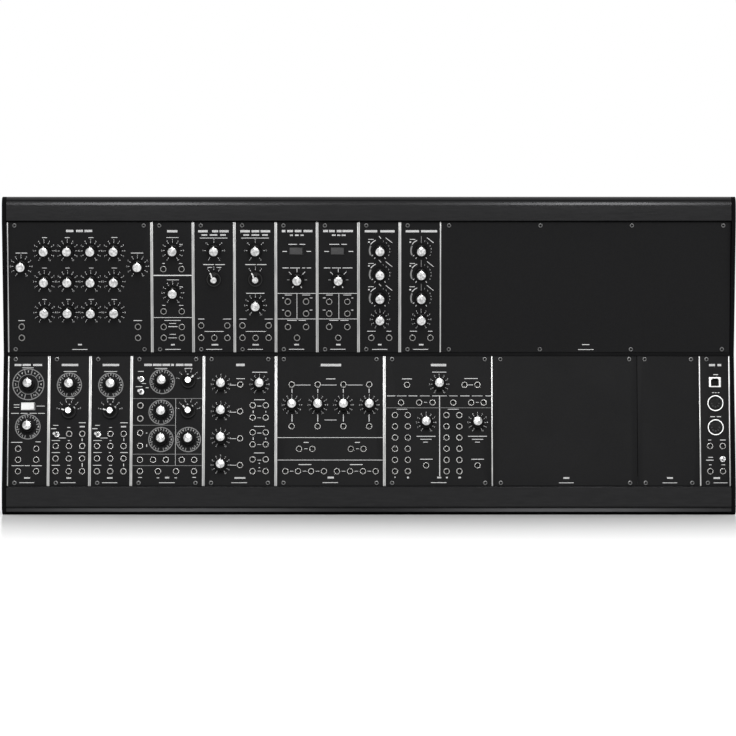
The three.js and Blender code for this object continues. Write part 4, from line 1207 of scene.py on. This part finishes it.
words = {
    "filter_bank": [
        (8.5, 2.2, (61.7, 7.3), (71.3, 6.9), (80, 7.6)),
        (15.1, 1, (36.9, 4.9), (59.3, 4.9), (82.5, 4.9)), (14.9, 1, (105.5, 5.9)),
        (45.1, 0.8, (36.6, 4.4), (59.2, 4.4), (82.5, 4.4), (105.2, 5.4)),
        (76.2, 0.8, (36.3, 4.4), (59.8, 3.9), (82.4, 5.4), (105, 5.4)),
        (30.3, 1, (10.8, 4.9), (16.8, 5.9), (127.7, 12.2)), (97.1, 1, (13.5, 6.4), (127.9, 8.3)),
        (121, 1.4, (70.7, 3.9)), (125.8, 0.9, (70.7, 14.7)),
    ],
    "dual_filter": [
        (8.8, 2.2, (20.1, 10.2)), (15, 0.8, (20.3, 11.8)), (21.8, 0.9, (28.7, 3.3)),
        (40.6, 1, (11.4, 2.4)), (40.6, 0.8, (28.2, 3.3)), (56.8, 0.8, (20.5, 11.8)),
        (63.7, 0.9, (28.5, 3.3)), (82, 1, (11.4, 2.8)), (82, 0.8, (28.4, 4.2)),
        (97, 0.8, (19.8, 16)), (100, 0.8, (20, 6.6)), (103.1, 1.1, (20.2, 9)),
        (110.8, 0.8, (19.9, 6.1)), (114.3, 0.7, (19.9, 8.5)), (121.1, 1.4, (20.1, 3.8)),
        (125.7, 0.9, (20.1, 15.1)),
    ],
    "high_pass": [
        (8.8, 2.2, (9.6, 9.4), (21.6, 6.1), (30.4, 8.9)),
        (12.5, 1.4, (11, 5.6), (20, 7.5), (29.3, 5.6)), (15.5, 0.9, (20.1, 27.3)),
        (41.7, 1.2, (15, 10.4), (26.3, 9.4)), (44.5, 0.9, (16.2, 4.2), (25.2, 4.7)),
        (95.6, 1, (7.5, 6.1)), (95.6, 0.8, (33, 8)), (107.9, 0.8, (20.2, 18.9)),
        (121.1, 1.4, (20.8, 6.6)), (125.7, 0.9, (20.1, 15.6)),
    ],
    "low_pass": [
        (8.8, 2.2, (10.4, 9.4), (20.5, 7.5), (30.3, 9.4)),
        (12.5, 1.4, (11.5, 5.6), (20.5, 7.5), (29.9, 5.6)), (15.5, 0.9, (20, 27.3)),
        (41.7, 1.2, (15.6, 10.4), (26.5, 9.4)), (70.1, 1.1, (20.2, 17.9)), (95.6, 1, (7.9, 7.1)),
        (95.6, 0.8, (33.4, 8)), (107.9, 0.8, (20.6, 19.8)), (121.1, 1.4, (20.3, 6.1)),
        (125.7, 0.9, (20, 15.1)),
    ],
    "amplifier_1": [
        (8.6, 2.2, (7.6, 3.5), (13.9, 5.7), (21.8, 6.6), (31.5, 8.8)),
        (12.7, 1.4, (15.2, 3.1), (20.5, 3.5), (25.7, 3.1)), (21.7, 1.1, (16.5, 8.3), (26, 5.7)),
        (28.7, 1.1, (8.6, 4.4), (32.3, 4.4)), (45, 1.1, (9.4, 6.2)),
        (45, 1, (18.6, 9.7), (27.2, 3.1)), (45, 1.1, (32.3, 4.4)), (71.8, 0.9, (12, 6.6)),
        (71.8, 0.8, (29.6, 7.9)), (74.7, 1.2, (6.9, 1.6)), (74.7, 0.9, (34.4, 2.6)),
        (86.7, 1, (6.8, 1.8), (34.4, 2.6)), (96.9, 0.9, (15.6, 9.2), (25.7, 7)),
        (121, 1.4, (20, 4.8)), (125.6, 0.9, (20, 15)),
    ],
    "amplifier_2": [
        (8.6, 2.2, (8.1, 4.8), (14.3, 5.7), (21.5, 4.8), (29.9, 10.5)),
        (12.7, 1.4, (16.3, 4), (21.1, 3.1), (25.8, 4)), (21.7, 1.1, (16.7, 9.7), (26.4, 5.3)),
        (28.7, 1.1, (9.1, 4.4), (33, 4.4)), (45, 1.1, (9.6, 6.2)), (45, 1, (18.9, 8.8)),
        (45, 1.1, (29.7, 9.7)), (71.8, 0.9, (11.8, 6.6)), (71.8, 0.8, (29.4, 7.9)),
        (74.7, 1, (6.7, 2.6)), (74.7, 1.1, (34.4, 1.8)), (86.7, 0.9, (6.7, 2.6)),
        (86.7, 1.2, (34.4, 1.8)), (96.9, 0.9, (16.2, 8.8), (26.6, 7.9)), (121, 1.4, (20.6, 4.4)),
        (125.6, 0.9, (20.1, 15)),
    ],
    "envelope_1": [
        (8.8, 2.2, (12.1, 12.3), (28.3, 14.1)), (16.8, 0.9, (12.1, 5.3)), (40.6, 0.9, (12.1, 5.3)),
        (63.6, 0.9, (12.1, 5.3)), (107.7, 0.9, (12.5, 8.4), (29.7, 4.8)), (121, 1.4, (20.7, 3.5)),
        (125.7, 0.9, (20.7, 15)),
    ],
    "envelope_2": [
        (8.8, 2.2, (12.1, 13.2), (28.5, 15.8)), (16.8, 0.9, (12.3, 5.3)), (40.6, 0.9, (12.3, 5.3)),
        (63.6, 0.9, (11.9, 5.3)), (107.7, 0.9, (13.3, 7), (29.8, 4.4)), (121, 1.4, (21, 4.4)),
        (125.7, 0.9, (20.3, 15)),
    ],
    "oscillator_driver": [
        (8.7, 2, (9.7, 6.8), (18.3, 8.1), (29, 9)), (11.5, 0.8, (19.6, 11.1)),
        (48.2, 0.9, (8.7, 5.6)), (50.8, 0.9, (8.7, 5.1)), (49.5, 0.8, (32.4, 8.1)),
        (56.7, 0.9, (7.3, 7.7), (16.2, 6.8), (25.2, 6.8), (33.3, 6.8)), (85.4, 0.9, (9.3, 11.1)),
        (84.9, 0.9, (30.2, 5.1)), (108.5, 0.9, (10.4, 11.9), (19.8, 5.1), (29.2, 10.2)),
        (120.6, 1.4, (19.9, 6)), (125.3, 0.9, (19.5, 14.5)),
    ],
    "oscillator_1": [
        (8.7, 2.2, (20.3, 16.3)), (15.2, 0.9, (20.5, 12.8)), (41.9, 1, (20.8, 8.1)),
        (68.6, 0.9, (6.9, 5.1)), (71.9, 1.2, (4.8, 5.1)), (81.1, 0.9, (13.4, 6.8)),
        (66, 1, (32.9, 6.8)), (69.9, 1.4, (33, 5.1)), (70.7, 1, (19.7, 3)), (83.6, 0.9, (7.1, 8.1)),
        (83.6, 1, (19.9, 1.9)), (82.8, 2.6, (32.9, 1.2)), (95.5, 0.9, (7.2, 8.1)),
        (95.5, 1, (19.6, 1.7), (32.8, 6.8)), (108.1, 0.9, (7.3, 8.1)), (108.1, 1, (20.1, 3)),
        (107.7, 3.6, (33.2, 1.2)), (120.6, 1.4, (20.1, 4.7)), (125.3, 0.9, (19.4, 14.9)),
    ],
    "oscillator_2": [
        (8.7, 2.2, (20, 16.3)), (15.2, 0.9, (19.7, 12.8)), (41.9, 1, (20.1, 7.3)),
        (68.6, 0.9, (7.3, 4.7)), (71.9, 1.2, (4.7, 5.1)), (81.1, 0.9, (13.8, 6.8)),
        (66, 1, (33.3, 7.3)), (69.9, 1.4, (32.9, 5.1)), (70.7, 0.8, (20.1, 2.6)),
        (83.6, 0.9, (7.4, 8.1)), (83.6, 1, (20.2, 1.9)), (82.8, 2.6, (33.3, 1.2)),
        (95.5, 0.9, (7.5, 8.1)), (95.5, 1, (19.5, 1.7), (33.6, 7.3)), (108.1, 0.9, (7.2, 8.1)),
        (108.1, 1, (20.3, 3)), (107.7, 2.6, (33.2, 1.2)), (120.6, 1.4, (19.8, 5.5)),
        (125.3, 0.9, (19.7, 14.9)),
    ],
    "voltage_oscillator": [
        (8.6, 2.2, (16, 7.6), (25, 8.5), (33.9, 7.6), (40.1, 2.8), (47.1, 7.6), (55.6, 7.6)),
        (12.1, 0.8, (28.8, 12.3), (55.9, 7.6)), (15.1, 0.9, (8.9, 5.7)), (27.1, 0.9, (11.9, 4.2)),
        (30.2, 0.9, (7.2, 6.6)), (31.3, 1.2, (15.2, 2.8)), (76.2, 1.2, (15, 1.3)),
        (88.6, 2.6, (15.1, 0.9)), (88.3, 1.2, (29.3, 2.3)), (88.3, 1, (55.4, 2.8)),
        (120.1, 1, (8.8, 3.8)), (120.5, 1, (26.4, 2.4)), (120.3, 1.6, (35.4, 4.2)),
        (120.5, 1, (43.9, 2.4)), (120.1, 1, (61.9, 3.3)), (125.3, 0.9, (35.2, 15.5)),
    ],
    "mixer": [
        (8.6, 2.4, (35.8, 8.5)), (15.9, 1.2, (54.9, 14.6)), (22.3, 1, (36.1, 8.5)),
        (28.7, 1, (28.5, 6.6)), (55.6, 0.9, (28.6, 6.6)), (81.7, 0.8, (28.8, 6.6)),
        (108, 0.8, (28.9, 6.6)), (43.2, 1, (54.7, 10.4)), (69.6, 1, (54.6, 10.4)),
        (95.9, 1, (54.7, 10.4)), (49.5, 1, (54.6, 4.2)), (61.1, 0.6, (54.6, 3.8)),
        (55.1, 2.6, (48.6, 0.8)), (55.1, 1.6, (61, 0.8)), (76.2, 1, (54.6, 4.2)),
        (87.6, 0.6, (54.7, 3.8)), (81.7, 2.6, (48.7, 0.8)), (81.7, 1.6, (61.1, 0.8)),
        (103, 0.8, (54.7, 3.8)), (113.7, 0.6, (54.8, 3.4)), (106.1, 1.2, (54.8, 1.3)),
        (110.4, 1, (54.8, 1.3)), (120.6, 1.6, (35.8, 10.8)), (125.3, 0.9, (35.1, 15.5)),
    ],
    "attenuator": [
        (8.8, 2.4, (53.9, 20.1)), (22.5, 1.2, (53.7, 9)),
        (28.6, 0.8, (26.4, 15.2), (52, 15.2), (77.6, 15.2)), (63.3, 0.8, (53.7, 11.8)),
        (85.5, 1.2, (29.6, 4.8), (80, 4.8)), (91.7, 0.7, (29.3, 3.3), (80, 2.5)),
        (107.4, 1.2, (28.5, 12.4), (78.9, 12.4)),
        (113.9, 0.7, (15.5, 3.6), (28.2, 3.6), (40.9, 3.6), (66.5, 3.6), (79, 3.6), (91.7, 3.6)),
        (120.2, 1.8, (53.8, 6.2)), (125.2, 1, (53.4, 15.2)),
        (34.4, 4, (15.6, 0.7), (41, 0.7), (66.1, 0.7), (91.5, 0.7)),
        (61.3, 7.2, (15.7, 0.7), (41, 0.7), (66.2, 0.7), (91.5, 0.7)),
    ],
    "interface": [
        (8.8, 2.4, (53.3, 15.2)), (15.8, 1, (53.9, 13.8)), (22.5, 1.2, (22.2, 9.7)),
        (22.2, 1, (85.2, 13.2)), (28.5, 0.9, (84.7, 5)),
        (39.4, 1, (6.5, 8.3), (28, 8.6), (50.4, 6.9)), (39.4, 0.8, (57.7, 6.9)),
        (39.4, 1, (79.2, 9.1), (102.7, 6.4)),
        (39.4, 0.7, (16.9, 9.7), (39.7, 9.7), (67.8, 8.3), (91.2, 10.4)),
        (45.8, 0.7, (40.4, 2.8), (91.3, 2.8)), (52.6, 0.8, (17.2, 10.4), (67.6, 10.4)),
        (79.4, 1, (40.8, 18.7)), (82.4, 0.9, (40.7, 11.1)), (85.2, 0.9, (40.3, 4.8)),
        (79.4, 1, (91.5, 18.7)), (82.4, 0.9, (91.5, 11.1)), (85.2, 0.9, (91.4, 4.8)),
        (102.1, 1, (41, 12.4), (91.4, 12.4)), (119.9, 1.4, (10.3, 1.4)), (120.2, 1.8, (23, 1.9)),
        (120.2, 1.4, (61.2, 1.9), (73.7, 2.5)), (120.2, 1.6, (53.7, 4.1)), (125.2, 1, (53.1, 15.2)),
    ],
    "computer_interface": [
        (8.8, 2.2, (12.9, 6), (20.1, 3.7)), (18.3, 1.2, (16.4, 4.7)),
        (36.2, 1, (13.5, 1.9), (16.2, 1.9), (19, 1.7)), (60, 1.2, (12.9, 4.7), (19.1, 4.2)),
        (83.1, 1, (9.8, 3)), (83.1, 1.2, (22.7, 5.5)), (100.2, 1, (10.5, 4.7)),
        (103, 1.2, (9.7, 7.2)), (107.6, 1, (10.1, 2.5), (22.8, 3.8)), (120.7, 1.8, (16.3, 6.4)),
        (125.4, 0.9, (20.1, 13.6)),
    ],
    "middle": [(120.6, 1.6, (71.8, 5.9)), (125.4, 0.9, (71.8, 14.5))],
    "narrow": [(120.6, 1.6, (31.3, 5.9)), (125.4, 0.9, (31.2, 14.5))],
    "wide": [(121, 1.2, (142.5, 7)), (125.9, 0.9, (142.6, 15.3))],
}
rules = {
    "dual_filter": [(0, 52.4, 40.2, 52.4, 0.95), (0, 94.1, 40.2, 94.1)],
    "amplifier_1": [(0, 70.2, 40.2, 70.2), (0, 95.5, 40.2, 95.5), (20.5, 70.2, 20.5, 95.5)],
    "amplifier_2": [(0, 70.2, 40.2, 70.2), (0, 95.5, 40.2, 95.5), (21.1, 70.2, 21.1, 95.5)],
    "voltage_oscillator": [
        (0, 42, 70.7, 42),
        (0, 68.5, 43.4, 68.5),
        (0, 97.1, 70.7, 97.1),
        (0, 108.4, 70.7, 108.4),
        (43.4, 42, 43.4, 108.4, 0.3),
    ],
    "attenuator": [(0, 80.7, 106.2, 80.7), (0, 102.9, 106.2, 102.9)],
    "interface": [(0, 51.2, 106.2, 51.2), (54.2, 39, 54.2, 118.9, 0.8)],
}
rule_width = 0.45
rule_margin = 0.2
faint_rules = ("voltage_oscillator", "interface")
number_dials = {"filter_bank": 10.7, "dual_filter": 10.7}
number_dials |= {"interface": 9.5, "mixer": 9.4, "attenuator": 9.6}
cell_dials = {
    "oscillator_driver": [(20.1, 27.9, 15.3, 9.8), (20, 70, 12.1, 8.6)],
    "oscillator_1": [(19.9, 28.6, 11.9, 8.4)],
    "oscillator_2": [(20, 28.6, 11.9, 8.4)],
    "voltage_oscillator": [
        (x, v, 12, 8.5) for x, v in ((30, 25.1), (29.2, 55.5), (29.1, 82.6), (56, 82.6))
    ],
}


def dial_centres(name, *kinds):
    return [(x, panel_height - z) for kind in kinds for x, z in places(name, kind)]


def add_envelope_dial(ink, faint, x, v, slanted):
    add_ring(faint, x, v, 10.1, 1.5, start=-116, sweep=54, steps=10)
    add_ring(ink, x, v, 10.9, 0.7, start=-56, sweep=34, steps=8)
    add_bar(ink, x - 10.8, v - 8.4, 1.6, 1.2)
    add_ticks(ink, x, v, (-146, -123, 146), 8.2, 9.8, 0.7)
    add_rule(ink, x + 5.7, v - 12.7, x + 12.1, v - 7.6, 0.55)
    if slanted:
        add_rule(ink, x - 0.9, v - 14.2, x + 1.1, v - 11.9, 0.6)
    else:
        add_rule(faint, x, v - 14.2, x, v - 7.4, 0.6)
    add_numbers(ink, x, v, 9.8, (20, 40, 62, 80, 98, 118), 1.9, first=1)


for name in all_panels:
    ink, faint = bmesh.new(), bmesh.new()
    add_words(ink, words[name])
    low_end = strip + rule_margin
    high_end = panel_width(name) - strip - rule_margin
    for x0, v0, x1, v1, *given in rules.get(name, []):
        tint = faint if name in faint_rules and v0 == v1 else ink
        rule_ends = (max(x0, low_end), v0, min(x1, high_end), v1)
        add_rule(tint, *rule_ends, given[0] if given else rule_width)
    for cell_dial in cell_dials.get(name, []):
        add_cell_dial(ink, faint, *cell_dial)
    dials = dial_centres(name, "knobs", "fixed")
    if name in number_dials:
        for dial in dials:
            add_number_dial(ink, *dial, number_dials[name])
    if name in three_way:
        add_number_dial(ink, *dials[0], turns=(-150, -90, -45, 0, 45, 90, 150))
    if name == "low_pass":
        add_number_dial(ink, *dials[1])
    if name.startswith("amplifier"):
        add_ticks(ink, *dials[0], (-45, 0, 45), 7.6, 11.2, 0.55)
        add_ticks(ink, *dials[0], (-150, 150), 7.4, 9.2, 0.9)
        add_ticks(faint, *dials[0], (-90, 90), 7.4, 9.8, 0.8)
    if name.startswith("envelope"):
        for dial in dials[:3]:
            add_envelope_dial(ink, faint, *dial, slanted=name == "envelope_1")
        add_number_dial(ink, *dials[3], radius=9.5, size=2.0)
    marks = (-30, 0, 30) if name in three_way else range(-75, 76, 30)
    for dial in dial_centres(name, "selectors"):
        add_number_dial(ink, *dial, radius=11.9, turns=marks)
    add_to_panel(name, "print", ink, white_ink)
    if faint.verts:
        add_to_panel(name, "faint_print", faint, grey_ink)
    else:
        faint.free()

drawn_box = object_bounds()
sizes = {"cad": [list(corner) for corner in cad_box], "scene": [list(corner) for corner in drawn_box]}
